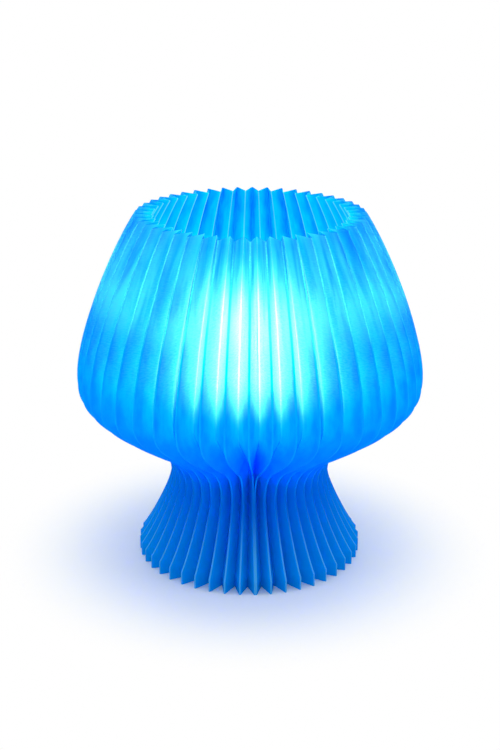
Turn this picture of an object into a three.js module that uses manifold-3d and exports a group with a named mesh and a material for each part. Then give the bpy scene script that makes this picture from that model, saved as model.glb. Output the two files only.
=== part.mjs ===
// Accordion table lamp: a pleated mushroom-shaped body of translucent plastic sheet, wrapped round a
// cordless rechargeable light unit and closed on itself at the front seam by small magnets.
// Millimetres, +Z up, the origin on the table under the lamp's axis, the seam on the -Y side.

import * as THREE from "three";
import { mergeVertices } from "three/addons/utils/BufferGeometryUtils.js";
import Module from "manifold-3d";

const wasm = await Module();
wasm.setup();

// Driving sizes of the pleated body, measured at the outer folds
const overallHeight = 226;
const rimRadius = 71.5;
const shoulderRadius = 110;
const shoulderHeight = 121.5;
const neckRadius = 51;
const neckHeight = 56;
const footRadius = 72.5;
const footHeight = 8.5;

// The sheet: leaves of one width, joined fold by fold
const pleatCount = 46;
const leafWidth = 12.5;
const foldLand = 0.9;
const foldRise = 0.6;
const sectionGap = 0.3;
const seamMergeHeight = 54;
const seamFullHeight = 113;

// How much closer the first pleats beside the seam stand than the rest, and how far round that reaches
const gatherShare = 0.009;
const gatherReachShare = 0.085;

// General fits
const fitGap = 0.3;
const overrun = 2;

// Notch at the back of the foot, where the charging plug goes in
const notchWidth = 15;
const notchHeight = 13.5;

// Closure magnets at the seam
const magnetRadius = 2.4;
const magnetThickness = 0.8;
const lowerMagnetHeight = 6;
const upperMagnetHeight = 34;
const magnetSeatShare = 0.3;

// Base housing and its cover
const housingRadius = 49;
const housingWall = 2.2;
const housingTop = 22;
const housingEdge = 5;
const coverBottom = 2;
const coverThickness = 2.5;
const footPadRadius = 5;
const footPadCircle = 38;
const footPadSink = 0.8;
const footPadEdge = 0.6;
const footPadCount = 4;
const screwCount = 4;
const bossRadius = 3.4;
const screwShankRadius = 1.3;
const screwHeadRadius = 2.8;
const screwHeadHeight = 1.3;
const screwLength = 9;
const screwSlotWidth = 0.8;
const screwSlotDepth = 0.6;

// What the housing holds
const ballastRadius = 35;
const ballastThickness = 5;
const ballastFlatShare = 0.2;
const batteryLength = 44;
const batteryWidth = 29;
const batteryThickness = 7;
const batteryFront = 39.5;
const batteryCorner = 2;
const boardWidth = 26;
const boardLength = 31;
const boardThickness = 1.6;
const boardRear = 42.5;
const boardStandoff = 1.5;
const standoffRadius = 2;
const chipSize = 6;
const chipThickness = 1.2;
const socketWidth = 9;
const socketHeight = 3.2;
const socketLength = 7.4;
const socketWall = 0.4;
const socketDepth = 6;
const tongueWidth = 6.4;
const tongueThickness = 0.7;
const tongueLength = 4.4;
const portClearance = 0.5;

// Stem and the ring that centres the pleats in the neck
const stemRadius = 11.5;
const stemTopRadius = 10;
const stemBore = 4;
const spigotRadius = 6;
const spigotLength = 5.6;
const nutAcross = 18;
const nutThickness = 3.6;
const stemTop = 87;
const ringBottom = 66;
const ringThickness = 3;
const ringRimWidth = 3;
const ringHubWidth = 3;
const spokeWidth = 3.4;
const spokeCount = 8;

// Light head
const cupBottom = 79;
const cupTop = 96;
const cupBottomRadius = 13.5;
const cupTopRadius = 23;
const cupWall = 1.8;
const cupLedge = 2.4;
const cupFloor = 3;
const postAcross = 20;
const postFlangeThickness = 2;
const postTop = 159;
const postBore = 3.2;
const stripCount = 6;
const stripWidth = 8;
const stripLength = 62;
const stripThickness = 1;
const stripLift = 1.5;
const ledCount = 4;
const ledSize = 3;
const ledThickness = 0.8;
const globeRadius = 30;
const globeWall = 1.6;
const globeSpigot = 3;
const globeTop = 172;
const globeMouthRadius = 11;
const globeBelly = 130;
const globeFullnessShare = 0.62;
const capRadius = 12.4;
const capThickness = 2.2;
const capSkirt = 3;
const buttonRadius = 7;
const buttonProud = 2.6;
const buttonCrown = 0.9;
const buttonFlange = 1.4;
const buttonFlangeThickness = 1.2;
const buttonTravel = 1.5;
const switchBoardRadius = 9.2;
const switchBoardThickness = 1.2;
const switchBodySize = 8;
const plungerRadius = 1.7;
const plungerBite = 2;

// Wires
const wireRadius = 0.9;
const wireSpacing = 2.2;
const wireRise = 4;

// Facets
const roundSides = 24;
const tubeSides = 16;
const smallSides = 8;
const wireSides = 5;
const cornerSteps = 2;
const globeFootSteps = 2;
const globeBodySteps = 3;

// How many times a search for a height halves its range
const halvingCount = 30;

const shadeBlue = new THREE.MeshStandardMaterial({ color: 0x0c8bf2, roughness: 0.32, metalness: 0 });
const housingWhite = new THREE.MeshStandardMaterial({ color: 0xe9edf0, roughness: 0.5, metalness: 0 });
const opalWhite = new THREE.MeshStandardMaterial({ color: 0xf6fbff, roughness: 0.4, metalness: 0 });
const rubberGrey = new THREE.MeshStandardMaterial({ color: 0x3c4046, roughness: 0.9, metalness: 0 });
const steel = new THREE.MeshStandardMaterial({ color: 0xa9adb1, roughness: 0.35, metalness: 1 });
const aluminium = new THREE.MeshStandardMaterial({ color: 0xc9ced3, roughness: 0.4, metalness: 1 });
const foilSilver = new THREE.MeshStandardMaterial({ color: 0xb9c2c9, roughness: 0.45, metalness: 0.6 });
const boardGreen = new THREE.MeshStandardMaterial({ color: 0x1e6b45, roughness: 0.5, metalness: 0 });
const boardWhite = new THREE.MeshStandardMaterial({ color: 0xf2f2ea, roughness: 0.5, metalness: 0 });
const switchBlack = new THREE.MeshStandardMaterial({ color: 0x1c1d1f, roughness: 0.6, metalness: 0 });
const wireRed = new THREE.MeshStandardMaterial({ color: 0xc5221c, roughness: 0.5, metalness: 0 });
const wireBlack = new THREE.MeshStandardMaterial({ color: 0x17181a, roughness: 0.5, metalness: 0 });

// A closed solid from any closed three.js geometry, with its faces pointing out
function solidOf(source) {
  const bare = source.index ? source.toNonIndexed() : source.clone();
  bare.deleteAttribute("normal");
  bare.deleteAttribute("uv");
  const merged = mergeVertices(bare);
  const vertProperties = merged.attributes.position.array;
  const triVerts = new Uint32Array(merged.index.array);
  const made = new wasm.Manifold(new wasm.Mesh({ numProp: 3, vertProperties, triVerts }));
  if (made.volume() > 0) return made;
  for (let i = 0; i < triVerts.length; i += 3) {
    [triVerts[i + 1], triVerts[i + 2]] = [triVerts[i + 2], triVerts[i + 1]];
  }
  return new wasm.Manifold(new wasm.Mesh({ numProp: 3, vertProperties, triVerts }));
}

function geometryOf(solid) {
  const mesh = solid.getMesh();
  const geometry = new THREE.BufferGeometry();
  geometry.setAttribute("position", new THREE.BufferAttribute(mesh.vertProperties, 3));
  geometry.setIndex(new THREE.BufferAttribute(mesh.triVerts, 1));
  geometry.computeVertexNormals();
  return geometry;
}

// Basic forms, each standing on its own lowest height
function turned(profile, sides = roundSides) {
  const points = profile.map(([radius, height]) => new THREE.Vector2(radius, height));
  return solidOf(new THREE.LatheGeometry(points, sides).rotateX(Math.PI / 2));
}

function rod(radius, bottom, top, sides = roundSides) {
  return turned([[0, bottom], [radius, bottom], [radius, top], [0, top]], sides);
}

function block(width, length, height, x, y, bottom) {
  const shape = new THREE.BoxGeometry(width, length, height);
  return solidOf(shape.translate(x, y, bottom + height / 2));
}

function plate(outline, bottom, thickness) {
  const options = { depth: thickness, bevelEnabled: false, curveSegments: cornerSteps };
  return solidOf(new THREE.ExtrudeGeometry(outline, options).translate(0, 0, bottom));
}

function roundedRectangle(width, length, corner) {
  const shape = new THREE.Shape();
  const x = width / 2;
  const y = length / 2;
  shape.moveTo(corner - x, -y);
  shape.lineTo(x - corner, -y);
  shape.quadraticCurveTo(x, -y, x, corner - y);
  shape.lineTo(x, y - corner);
  shape.quadraticCurveTo(x, y, x - corner, y);
  shape.lineTo(corner - x, y);
  shape.quadraticCurveTo(-x, y, -x, y - corner);
  shape.lineTo(-x, corner - y);
  shape.quadraticCurveTo(-x, -y, corner - x, -y);
  return shape;
}

function tube(points, radius) {
  const path = new THREE.CatmullRomCurve3(points);
  const section = new THREE.Shape();
  for (let i = 0; i < wireSides; i++) {
    const angle = (2 * Math.PI * i) / wireSides;
    const x = radius * Math.cos(angle);
    const y = radius * Math.sin(angle);
    if (i === 0) section.moveTo(x, y);
    else section.lineTo(x, y);
  }
  const steps = 2 * points.length;
  return solidOf(new THREE.ExtrudeGeometry(section, { steps, extrudePath: path, bevelEnabled: false }));
}

function aroundAxis(count, radius, turn = 0) {
  return Array.from({ length: count }, (_, i) => {
    const angle = turn + (2 * Math.PI * i) / count;
    return [radius * Math.cos(angle), radius * Math.sin(angle)];
  });
}

const lamp = new THREE.Group();
const lightUnit = new THREE.Group();
const pleatedBody = new THREE.Group();
lamp.add(lightUnit, pleatedBody);

function addPiece(name, solid, material, group = lightUnit) {
  const mesh = new THREE.Mesh(geometryOf(solid), material);
  mesh.name = name;
  group.add(mesh);
  return mesh;
}

// The crest line: the body's outline in the plane of the axis, from the foot to the rim. Each stretch has
// the rows of leaves it is cut into, and its points as shares of the reach and rise of the flare, the
// bowl or the hood.
const flareHandleShares = [[0.18, 0.08], [1, 0.77]];
const bowlHandleShares = [[0, 0.25], [0.302, 0.354]];
const coneStartShare = [0.384, 0.401];
const coneEndShare = [0.515, 0.476];
const shoulderHandleShares = [[0.968, 0.733], [1, 0.831]];
const hoodHandleShares = [[0, 0.263], [0.608, 0.783]];
const straightRows = 1;
const curvedRows = 3;
const flareRise = neckHeight - footHeight;
const flareReach = footRadius - neckRadius;
const bowlRise = shoulderHeight - neckHeight;
const bowlReach = shoulderRadius - neckRadius;
const hoodRise = overallHeight - shoulderHeight;
const hoodReach = shoulderRadius - rimRadius;

const flarePoint = (reachShare, riseShare) =>
  new THREE.Vector2(footRadius - reachShare * flareReach, footHeight + riseShare * flareRise);
const bowlPoint = (reachShare, riseShare) =>
  new THREE.Vector2(neckRadius + reachShare * bowlReach, neckHeight + riseShare * bowlRise);
const hoodPoint = (reachShare, riseShare) =>
  new THREE.Vector2(shoulderRadius - reachShare * hoodReach, shoulderHeight + riseShare * hoodRise);

const foot = new THREE.Vector2(footRadius, 0);
const heel = flarePoint(0, 0);
const waist = bowlPoint(0, 0);
const coneStart = bowlPoint(...coneStartShare);
const coneEnd = bowlPoint(...coneEndShare);
const shoulder = hoodPoint(0, 0);
const rim = hoodPoint(1, 1);

const straight = (from, to) => ({ rows: straightRows, curve: new THREE.LineCurve(from, to) });
const curved = (from, handles, to) => {
  return { rows: curvedRows, curve: new THREE.CubicBezierCurve(from, ...handles, to) };
};
const crestCurves = [
  straight(foot, heel),
  curved(heel, flareHandleShares.map((share) => flarePoint(...share)), waist),
  curved(waist, bowlHandleShares.map((share) => bowlPoint(...share)), coneStart),
  straight(coneStart, coneEnd),
  curved(coneEnd, shoulderHandleShares.map((share) => bowlPoint(...share)), shoulder),
  curved(shoulder, hoodHandleShares.map((share) => hoodPoint(...share)), rim),
];

// The way round from the first crest to the rear as a share, for a fold that would stand at the given
// share if all pleats were even. The seam's own pleat has the spacing that this starts with.
const seamSpacingShare = 1 + gatherShare - gatherShare / gatherReachShare;

function gathered(share) {
  return share + gatherShare * (share - 1 + (1 - share) ** (1 / gatherReachShare));
}

// One level of the body. The leaves reach inwards from the crest, square to the outline under the bowl
// and level everywhere else, so that the foot and the rim are flat.
function levelAt(curve, share) {
  const crest = curve.getPoint(share);
  const along = curve.getTangent(share);
  const tilt = Math.min(0, Math.atan2(-along.x, along.y));
  const merge = THREE.MathUtils.smoothstep(crest.y, seamMergeHeight, seamFullHeight);
  const fullHalf = crest.x * Math.sin((Math.PI / pleatCount) * seamSpacingShare);
  const closedHalf = (foldLand + sectionGap) / 2;
  const seamHalfAngle = Math.asin(THREE.MathUtils.lerp(closedHalf, fullHalf, merge) / crest.x);
  const inward = new THREE.Vector2(-Math.cos(tilt), -Math.sin(tilt));
  return { radius: crest.x, height: crest.y, inward, seamHalfAngle };
}

const levels = [levelAt(crestCurves[0].curve, 0)];
for (const { rows, curve } of crestCurves) {
  for (let row = 1; row <= rows; row++) levels.push(levelAt(curve, row / rows));
}

// Folds are numbered round from the seam: even ones are valleys, odd ones crests
const foldCount = 2 * pleatCount;

function crestAngle(level, fold) {
  if (fold > pleatCount) return 2 * Math.PI - crestAngle(level, foldCount - fold);
  const share = gathered((fold - 1) / (pleatCount - 1));
  return THREE.MathUtils.lerp(level.seamHalfAngle, Math.PI, share);
}

function foldAngle(level, fold) {
  if (fold === 0) return 0;
  if (fold === foldCount) return 2 * Math.PI;
  if (fold % 2) return crestAngle(level, fold);
  return (crestAngle(level, fold - 1) + crestAngle(level, fold + 1)) / 2;
}

// How far a valley lies behind the crests beside it, for leaves of the set width
function pleatDepth(level, fold) {
  const atSeam = fold === 0 || fold === foldCount;
  const low = atSeam ? -level.seamHalfAngle : crestAngle(level, fold - 1);
  const high = atSeam ? level.seamHalfAngle : crestAngle(level, fold + 1);
  const leafAngle = (high - low) / 2;
  const acrossHalf = level.radius * Math.sin(leafAngle);
  return level.radius * (1 - Math.cos(leafAngle)) + Math.sqrt(leafWidth ** 2 - acrossHalf ** 2);
}

// A point of a level: behind the crest by depth, beside the fold by aside, round from the seam by angle
function bodyPoint(level, angle, depth, aside) {
  const radius = level.radius + depth * level.inward.x;
  const height = level.height + depth * level.inward.y;
  const x = radius * Math.sin(angle) + aside * Math.cos(angle);
  const y = -radius * Math.cos(angle) + aside * Math.sin(angle);
  return new THREE.Vector3(x, y, height);
}

// The section of the sheet between two folds at one level, as a closed ring of points
function sheetRing(level, firstFold, lastFold) {
  const outer = [];
  const inner = [];
  for (let fold = firstFold; fold <= lastFold; fold++) {
    const angle = foldAngle(level, fold);
    const atSeam = fold === 0 || fold === foldCount;
    const half = foldLand / 2 + (atSeam ? sectionGap / 2 : 0);
    const low = fold === firstFold ? sectionGap / 2 : -half;
    const high = fold === lastFold ? -sectionGap / 2 : half;
    const middle = fold === firstFold ? low : fold === lastFold ? high : 0;
    if (fold % 2) {
      outer.push(bodyPoint(level, angle, 0, low), bodyPoint(level, angle, 0, high));
      inner.push(bodyPoint(level, angle, foldRise, middle));
    } else {
      const depth = pleatDepth(level, fold);
      outer.push(bodyPoint(level, angle, depth - foldRise, middle));
      inner.push(bodyPoint(level, angle, depth, low), bodyPoint(level, angle, depth, high));
    }
  }
  return outer.concat(inner.reverse());
}

function lofted(rings) {
  const size = rings[0].length;
  const positions = rings.flat().flatMap((point) => [point.x, point.y, point.z]);
  const faces = [];
  for (let level = 0; level + 1 < rings.length; level++) {
    for (let i = 0; i < size; i++) {
      const a = level * size + i;
      const b = level * size + ((i + 1) % size);
      faces.push(a, b, b + size, a, b + size, a + size);
    }
  }
  const flat = (ring) => ring.map((point) => new THREE.Vector2(point.x, point.y));
  const endFaces = (ring) => THREE.ShapeUtils.triangulateShape(flat(ring), []);
  const top = (rings.length - 1) * size;
  for (const [a, b, c] of endFaces(rings[0])) faces.push(c, b, a);
  for (const [a, b, c] of endFaces(rings[rings.length - 1])) faces.push(top + a, top + b, top + c);
  const geometry = new THREE.BufferGeometry();
  geometry.setAttribute("position", new THREE.Float32BufferAttribute(positions, 3));
  geometry.setIndex(faces);
  return solidOf(geometry);
}

// The body in seven runs of pleats. It bends open along the crests between them, each so many pleats
// round from the seam.
const frontPleatCount = 6;
const middlePleatCount = 13;
const rearPleatCount = 20;
const crestFold = (pleats) => 2 * pleats + 1;
const mirrored = (fold) => foldCount - fold;

function sheetRun(firstFold, lastFold) {
  return lofted(levels.map((level) => sheetRing(level, firstFold, lastFold)));
}

function buildBody() {
  const rear = crestFold(rearPleatCount);
  const middle = crestFold(middlePleatCount);
  const front = crestFold(frontPleatCount);
  const notchReach = leafWidth + 2 * overrun;
  const notchPlace = footRadius + overrun - notchReach / 2;
  const notch = block(notchWidth, notchReach, notchHeight + overrun, 0, notchPlace, -overrun);
  addPiece("shade_back", sheetRun(rear, mirrored(rear)).subtract(notch), shadeBlue, pleatedBody);
  const runs = [
    ["rear", middle, rear],
    ["middle", front, middle],
    ["front", 0, front],
  ];
  for (const [place, first, last] of runs) {
    addPiece(`shade_right_${place}`, sheetRun(first, last), shadeBlue, pleatedBody);
    addPiece(`shade_left_${place}`, sheetRun(mirrored(last), mirrored(first)), shadeBlue, pleatedBody);
  }
}

// The level of the body at any height up to the neck, for pieces that fit inside the foot
function lowerLevel(height) {
  const [band, flare] = crestCurves;
  if (height <= footHeight) return levelAt(band.curve, height / footHeight);
  let low = 0;
  let high = 1;
  for (let i = 0; i < halvingCount; i++) {
    const middle = (low + high) / 2;
    if (flare.curve.getPoint(middle).y < height) low = middle;
    else high = middle;
  }
  return levelAt(flare.curve, low);
}

// Flat disc magnets, glued inside the last fold on each side of the seam
function buildMagnets() {
  const heights = { lower: lowerMagnetHeight, upper: upperMagnetHeight };
  for (const [place, height] of Object.entries(heights)) {
    const level = lowerLevel(height);
    const depth = pleatDepth(level, 0) - magnetSeatShare * leafWidth;
    const aside = sectionGap / 2 + foldLand / 2 + fitGap + magnetThickness / 2;
    for (const [side, sign] of [["right", 1], ["left", -1]]) {
      const disc = rod(magnetRadius, -magnetThickness / 2, magnetThickness / 2, smallSides);
      const magnet = addPiece(`seam_magnet_${side}_${place}`, disc, steel, pleatedBody);
      magnet.position.copy(bodyPoint(level, 0, depth, sign * aside));
      magnet.rotation.y = Math.PI / 2;
    }
  }
}

// Base housing: a round shell, open below, with four screw bosses and a port at the back
const coverTop = coverBottom + coverThickness;
const housingInside = housingRadius - housingWall;
const bossCircle = housingInside - bossRadius - fitGap;
const boardBottom = coverTop + boardStandoff;
const socketBottom = boardBottom + boardThickness;
const socketMiddle = socketBottom + socketHeight / 2;
const housingCeiling = housingTop - housingWall;

function housingProfile(radius, bottom, top, edge) {
  const points = [[0, bottom], [radius, bottom]];
  for (let i = 0; i <= cornerSteps; i++) {
    const angle = (Math.PI / 2) * (i / cornerSteps);
    points.push([radius - edge + edge * Math.cos(angle), top - edge + edge * Math.sin(angle)]);
  }
  points.push([0, top]);
  return points;
}

function buildHousing() {
  const innerEdge = housingEdge - housingWall;
  const hollow = turned(housingProfile(housingInside, coverBottom - overrun, housingCeiling, innerEdge));
  let shell = turned(housingProfile(housingRadius, coverBottom, housingTop, housingEdge)).subtract(hollow);
  for (const [x, y] of aroundAxis(screwCount, bossCircle, Math.PI / screwCount)) {
    const boss = rod(bossRadius, coverTop, housingCeiling + housingWall / 2, smallSides);
    const pilot = rod(screwShankRadius + fitGap, coverTop - overrun, coverTop + screwLength, smallSides);
    shell = shell.add(boss.subtract(pilot).translate(x, y, 0));
  }
  const stemHole = rod(spigotRadius + fitGap, housingCeiling - overrun, housingTop + overrun, tubeSides);
  const portWidth = socketWidth + 2 * portClearance;
  const portHeight = socketHeight + 2 * portClearance;
  const wallMiddle = housingRadius - housingWall / 2;
  const port = block(portWidth, 2 * overrun, portHeight, 0, wallMiddle, socketMiddle - portHeight / 2);
  addPiece("base_housing", shell.subtract(stemHole).subtract(port), housingWhite);
}

function buildCover() {
  let cover = rod(housingInside - fitGap, coverBottom, coverTop);
  for (const [x, y] of aroundAxis(footPadCount, footPadCircle)) {
    const recessTop = coverBottom + footPadSink;
    const recess = rod(footPadRadius + fitGap, coverBottom - overrun, recessTop, smallSides);
    cover = cover.subtract(recess.translate(x, y, 0));
  }
  for (const [x, y] of aroundAxis(screwCount, bossCircle, Math.PI / screwCount)) {
    const through = rod(screwShankRadius + fitGap, coverBottom - overrun, coverTop + overrun, smallSides);
    const headTop = coverBottom + screwHeadHeight;
    const counterbore = rod(screwHeadRadius + fitGap, coverBottom - overrun, headTop, smallSides);
    cover = cover.subtract(through.add(counterbore).translate(x, y, 0));
  }
  const standoffPlace = boardWidth / 2 - standoffRadius;
  for (const x of [-standoffPlace, standoffPlace]) {
    for (const y of [boardRear - boardLength + standoffRadius, boardRear - 2 * standoffRadius]) {
      const standoff = rod(standoffRadius, coverTop - coverThickness / 2, boardBottom, smallSides);
      cover = cover.add(standoff.translate(x, y, 0));
    }
  }
  addPiece("base_cover", cover, housingWhite);
}

function buildFootPads() {
  const top = coverBottom + footPadSink;
  aroundAxis(footPadCount, footPadCircle).forEach(([x, y], i) => {
    const profile = [
      [0, 0],
      [footPadRadius - footPadEdge, 0],
      [footPadRadius, footPadEdge],
      [footPadRadius, top],
      [0, top],
    ];
    addPiece(`foot_pad_${i + 1}`, turned(profile, smallSides), rubberGrey).position.set(x, y, 0);
  });
}

function buildCoverScrews() {
  aroundAxis(screwCount, bossCircle, Math.PI / screwCount).forEach(([x, y], i) => {
    const headTop = coverBottom + screwHeadHeight;
    const slotLength = 2 * screwHeadRadius + overrun;
    const slot = block(slotLength, screwSlotWidth, screwSlotDepth + overrun, 0, 0, coverBottom - overrun);
    const shank = rod(screwShankRadius, headTop - screwSlotDepth, headTop + screwLength - fitGap, smallSides);
    const screw = rod(screwHeadRadius, coverBottom, headTop, smallSides).add(shank).subtract(slot);
    addPiece(`cover_screw_${i + 1}`, screw, steel).position.set(x, y, 0);
  });
}

// Ballast, battery and board stand on the cover
const ballastTop = coverTop + ballastThickness;
const boardFront = boardRear - boardLength;

function buildBallast() {
  const half = Math.acos(ballastFlatShare);
  const outline = new THREE.Shape();
  outline.absarc(0, 0, ballastRadius, Math.PI / 2 + half, Math.PI / 2 - half + 2 * Math.PI, false);
  const weight = solidOf(
    new THREE.ExtrudeGeometry(outline, {
      depth: ballastThickness,
      bevelEnabled: false,
      curveSegments: roundSides / 2,
    }),
  );
  addPiece("ballast_weight", weight, steel).position.z = coverTop;
}

function buildBattery() {
  const outline = roundedRectangle(batteryLength, batteryWidth, batteryCorner);
  const battery = addPiece("battery_pack", plate(outline, 0, batteryThickness), foilSilver);
  battery.position.set(0, batteryWidth / 2 - batteryFront, ballastTop);
}

function buildMainBoard() {
  const middle = (boardFront + boardRear) / 2;
  let board = block(boardWidth, boardLength, boardThickness, 0, middle, boardBottom);
  const chipAside = boardWidth / 4;
  const chipFront = boardFront + chipSize;
  const boardMiddle = boardBottom + boardThickness / 2;
  for (const [x, y] of [[-chipAside, chipFront], [chipAside, chipFront], [0, middle]]) {
    board = board.add(block(chipSize, chipSize, chipThickness + boardThickness / 2, x, y, boardMiddle));
  }
  addPiece("main_board", board, boardGreen);
}

function buildChargeSocket() {
  const mouth = housingRadius - housingWall / 2;
  const inside = socketWidth - 2 * socketWall;
  const outline = roundedRectangle(socketWidth, socketHeight, socketHeight / 2);
  const hollow = roundedRectangle(inside, socketHeight - 2 * socketWall, socketHeight / 2 - socketWall);
  const shell = plate(outline, 0, socketLength).subtract(plate(hollow, -overrun, socketDepth + overrun));
  const tongueDepth = socketDepth - tongueLength;
  const tongue = block(tongueWidth, tongueThickness, socketLength - tongueDepth, 0, 0, tongueDepth);
  const socket = addPiece("charge_socket", shell.add(tongue), steel);
  socket.rotation.x = Math.PI / 2;
  socket.position.set(0, mouth, socketMiddle + fitGap);
}

// Stem: a turned tube that steps in at the neck ring, with a threaded spigot below
function buildStem() {
  const spigotEnd = housingTop - spigotLength;
  const profile = [
    [stemBore, spigotEnd],
    [spigotRadius, spigotEnd],
    [spigotRadius, housingTop],
    [stemRadius, housingTop],
    [stemRadius, ringBottom],
    [stemTopRadius, ringBottom],
    [stemTopRadius, stemTop],
    [stemBore, stemTop],
    [stemBore, spigotEnd],
  ];
  addPiece("stem_tube", turned(profile, tubeSides), aluminium);
  const hexagon = new THREE.Shape();
  aroundAxis(6, nutAcross / 2 / Math.cos(Math.PI / 6)).forEach(([x, y], i) => {
    if (i) hexagon.lineTo(x, y);
    else hexagon.moveTo(x, y);
  });
  const nutBottom = housingCeiling - nutThickness;
  const bore = rod(spigotRadius + fitGap, nutBottom - overrun, housingCeiling + overrun, tubeSides);
  addPiece("stem_nut", plate(hexagon, nutBottom, nutThickness).subtract(bore), steel);
}

// How far from the axis the inner fold at the seam is, at a height between the foot and the shoulder
function insideRadius(height) {
  const folds = levels.map((level) => bodyPoint(level, 0, pleatDepth(level, 0), 0));
  const upper = folds.findIndex((fold) => fold.z > height);
  const share = (height - folds[upper - 1].z) / (folds[upper].z - folds[upper - 1].z);
  return -THREE.MathUtils.lerp(folds[upper - 1].y, folds[upper].y, share);
}

// The ring sits on the stem's step, a little above the neck and wider than it, with a rim that follows
// the inner folds. It keeps them round and in the middle, and it holds the light unit in the body.
function buildNeckRing() {
  const ringTop = ringBottom + ringThickness;
  const lowerRim = insideRadius(ringBottom) - fitGap;
  const upperRim = insideRadius(ringTop) - fitGap;
  const rimInside = lowerRim - ringRimWidth;
  const hubRadius = stemTopRadius + fitGap + ringHubWidth;
  const window = rod(rimInside, ringBottom - overrun, ringTop + overrun);
  const disc = turned([[0, ringBottom], [lowerRim, ringBottom], [upperRim, ringTop], [0, ringTop]]);
  let ring = disc.subtract(window);
  const spokeLength = rimInside + ringRimWidth / 2;
  for (let i = 0; i < spokeCount; i++) {
    const spoke = block(spokeLength, spokeWidth, ringThickness, spokeLength / 2, 0, ringBottom);
    ring = ring.add(spoke.rotate([0, 0, (360 * i) / spokeCount]));
  }
  ring = ring.add(rod(hubRadius, ringBottom, ringTop, tubeSides));
  ring = ring.subtract(rod(stemTopRadius + fitGap, ringBottom - overrun, ringTop + overrun, tubeSides));
  addPiece("neck_ring", ring, housingWhite);
}

// Light head: a cup on the stem, a six-sided post with a light strip on each side, and an opal globe
const cupFloorTop = stemTop + cupFloor;
const postBottom = cupFloorTop;
const stripBottom = postBottom + postFlangeThickness + stripLift;

function buildCup() {
  const ledgeRadius = cupTopRadius - cupWall - cupLedge;
  const sleeve = stemTopRadius + fitGap;
  const profile = [
    [sleeve, cupBottom],
    [cupBottomRadius, cupBottom],
    [cupTopRadius, cupTop - globeSpigot],
    [cupTopRadius, cupTop],
    [cupTopRadius - cupWall, cupTop],
    [cupTopRadius - cupWall, cupTop - globeSpigot],
    [ledgeRadius, cupTop - globeSpigot],
    [ledgeRadius, cupFloorTop],
    [stemBore, cupFloorTop],
    [stemBore, stemTop],
    [sleeve, stemTop],
    [sleeve, cupBottom],
  ];
  addPiece("head_cup", turned(profile), housingWhite);
  return ledgeRadius;
}

function buildPost(ledgeRadius) {
  const hexagon = new THREE.Shape();
  aroundAxis(6, postAcross / 2 / Math.cos(Math.PI / 6), Math.PI / 6).forEach(([x, y], i) => {
    if (i) hexagon.lineTo(x, y);
    else hexagon.moveTo(x, y);
  });
  const flange = rod(ledgeRadius - fitGap, postBottom, postBottom + postFlangeThickness);
  const bore = rod(postBore, postBottom - overrun, postTop + overrun, smallSides);
  const post = plate(hexagon, postBottom, postTop - postBottom).add(flange).subtract(bore);
  addPiece("led_post", post, aluminium);
}

function buildLightStrips() {
  for (let i = 0; i < stripCount; i++) {
    const face = new THREE.Group();
    face.rotation.z = (2 * Math.PI * i) / stripCount;
    lightUnit.add(face);
    const pitch = stripLength / ledCount;
    const ledDepth = ledThickness + stripThickness / 2;
    let strip = block(stripThickness, stripWidth, stripLength, 0, 0, 0);
    for (let led = 0; led < ledCount; led++) {
      const ledBottom = pitch * led + pitch / 2 - ledSize / 2;
      strip = strip.add(block(ledDepth, ledSize, ledSize, ledDepth / 2, 0, ledBottom));
    }
    const place = addPiece(`light_strip_${i + 1}`, strip, boardWhite, face);
    place.position.set(postAcross / 2 + fitGap + stripThickness / 2, 0, stripBottom);
  }
}

function buildGlobe() {
  const seat = cupTop - globeSpigot;
  const neck = cupTopRadius - cupWall - fitGap;
  const neckEdge = new THREE.Vector2(neck, cupTop);
  const belly = new THREE.Vector2(globeRadius, globeBelly);
  const mouth = new THREE.Vector2(globeMouthRadius + globeWall, globeTop);
  const fullness = (from, to) => THREE.MathUtils.lerp(from, to, globeFullnessShare);
  const lowerHandle = new THREE.Vector2(globeRadius, cupTop);
  const upperHandle = new THREE.Vector2(globeRadius, fullness(globeBelly, globeTop));
  const mouthHandle = new THREE.Vector2(fullness(globeMouthRadius, globeRadius), globeTop);
  const lower = new THREE.QuadraticBezierCurve(neckEdge, lowerHandle, belly);
  const upper = new THREE.CubicBezierCurve(belly, upperHandle, mouthHandle, mouth);
  const outside = [...lower.getPoints(globeFootSteps), ...upper.getPoints(globeBodySteps).slice(1)];
  const inside = outside.map((point) => new THREE.Vector2(point.x - globeWall, point.y)).reverse();
  const spigot = new THREE.Vector2(neck, seat);
  const spigotInside = new THREE.Vector2(neck - globeWall, seat);
  const profile = [spigot, ...outside, ...inside, spigotInside].map((point) => [point.x, point.y]);
  addPiece("globe_diffuser", turned([...profile, profile[0]]), opalWhite);
}

// Switch at the crown: a cap in the globe's mouth, a push button in it, and a latching switch below
const capTop = globeTop + capThickness;
const skirtRadius = globeMouthRadius - fitGap;
const skirtBottom = globeTop - capSkirt;
const buttonHole = buttonRadius + fitGap;
const flangeTop = globeTop - fitGap;
const flangeBottom = flangeTop - buttonFlangeThickness;
const switchBoardTop = postTop + switchBoardThickness;
const switchBodyTop = flangeBottom - buttonTravel - fitGap;

function buildCap() {
  const profile = [
    [buttonHole, globeTop],
    [skirtRadius - cupWall / 2, globeTop],
    [skirtRadius - cupWall / 2, skirtBottom],
    [skirtRadius, skirtBottom],
    [skirtRadius, globeTop],
    [capRadius, globeTop],
    [capRadius, capTop - capThickness / 2],
    [capRadius - capThickness / 2, capTop],
    [buttonHole, capTop],
    [buttonHole, globeTop],
  ];
  addPiece("crown_cap", turned(profile, tubeSides), housingWhite);
}

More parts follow.
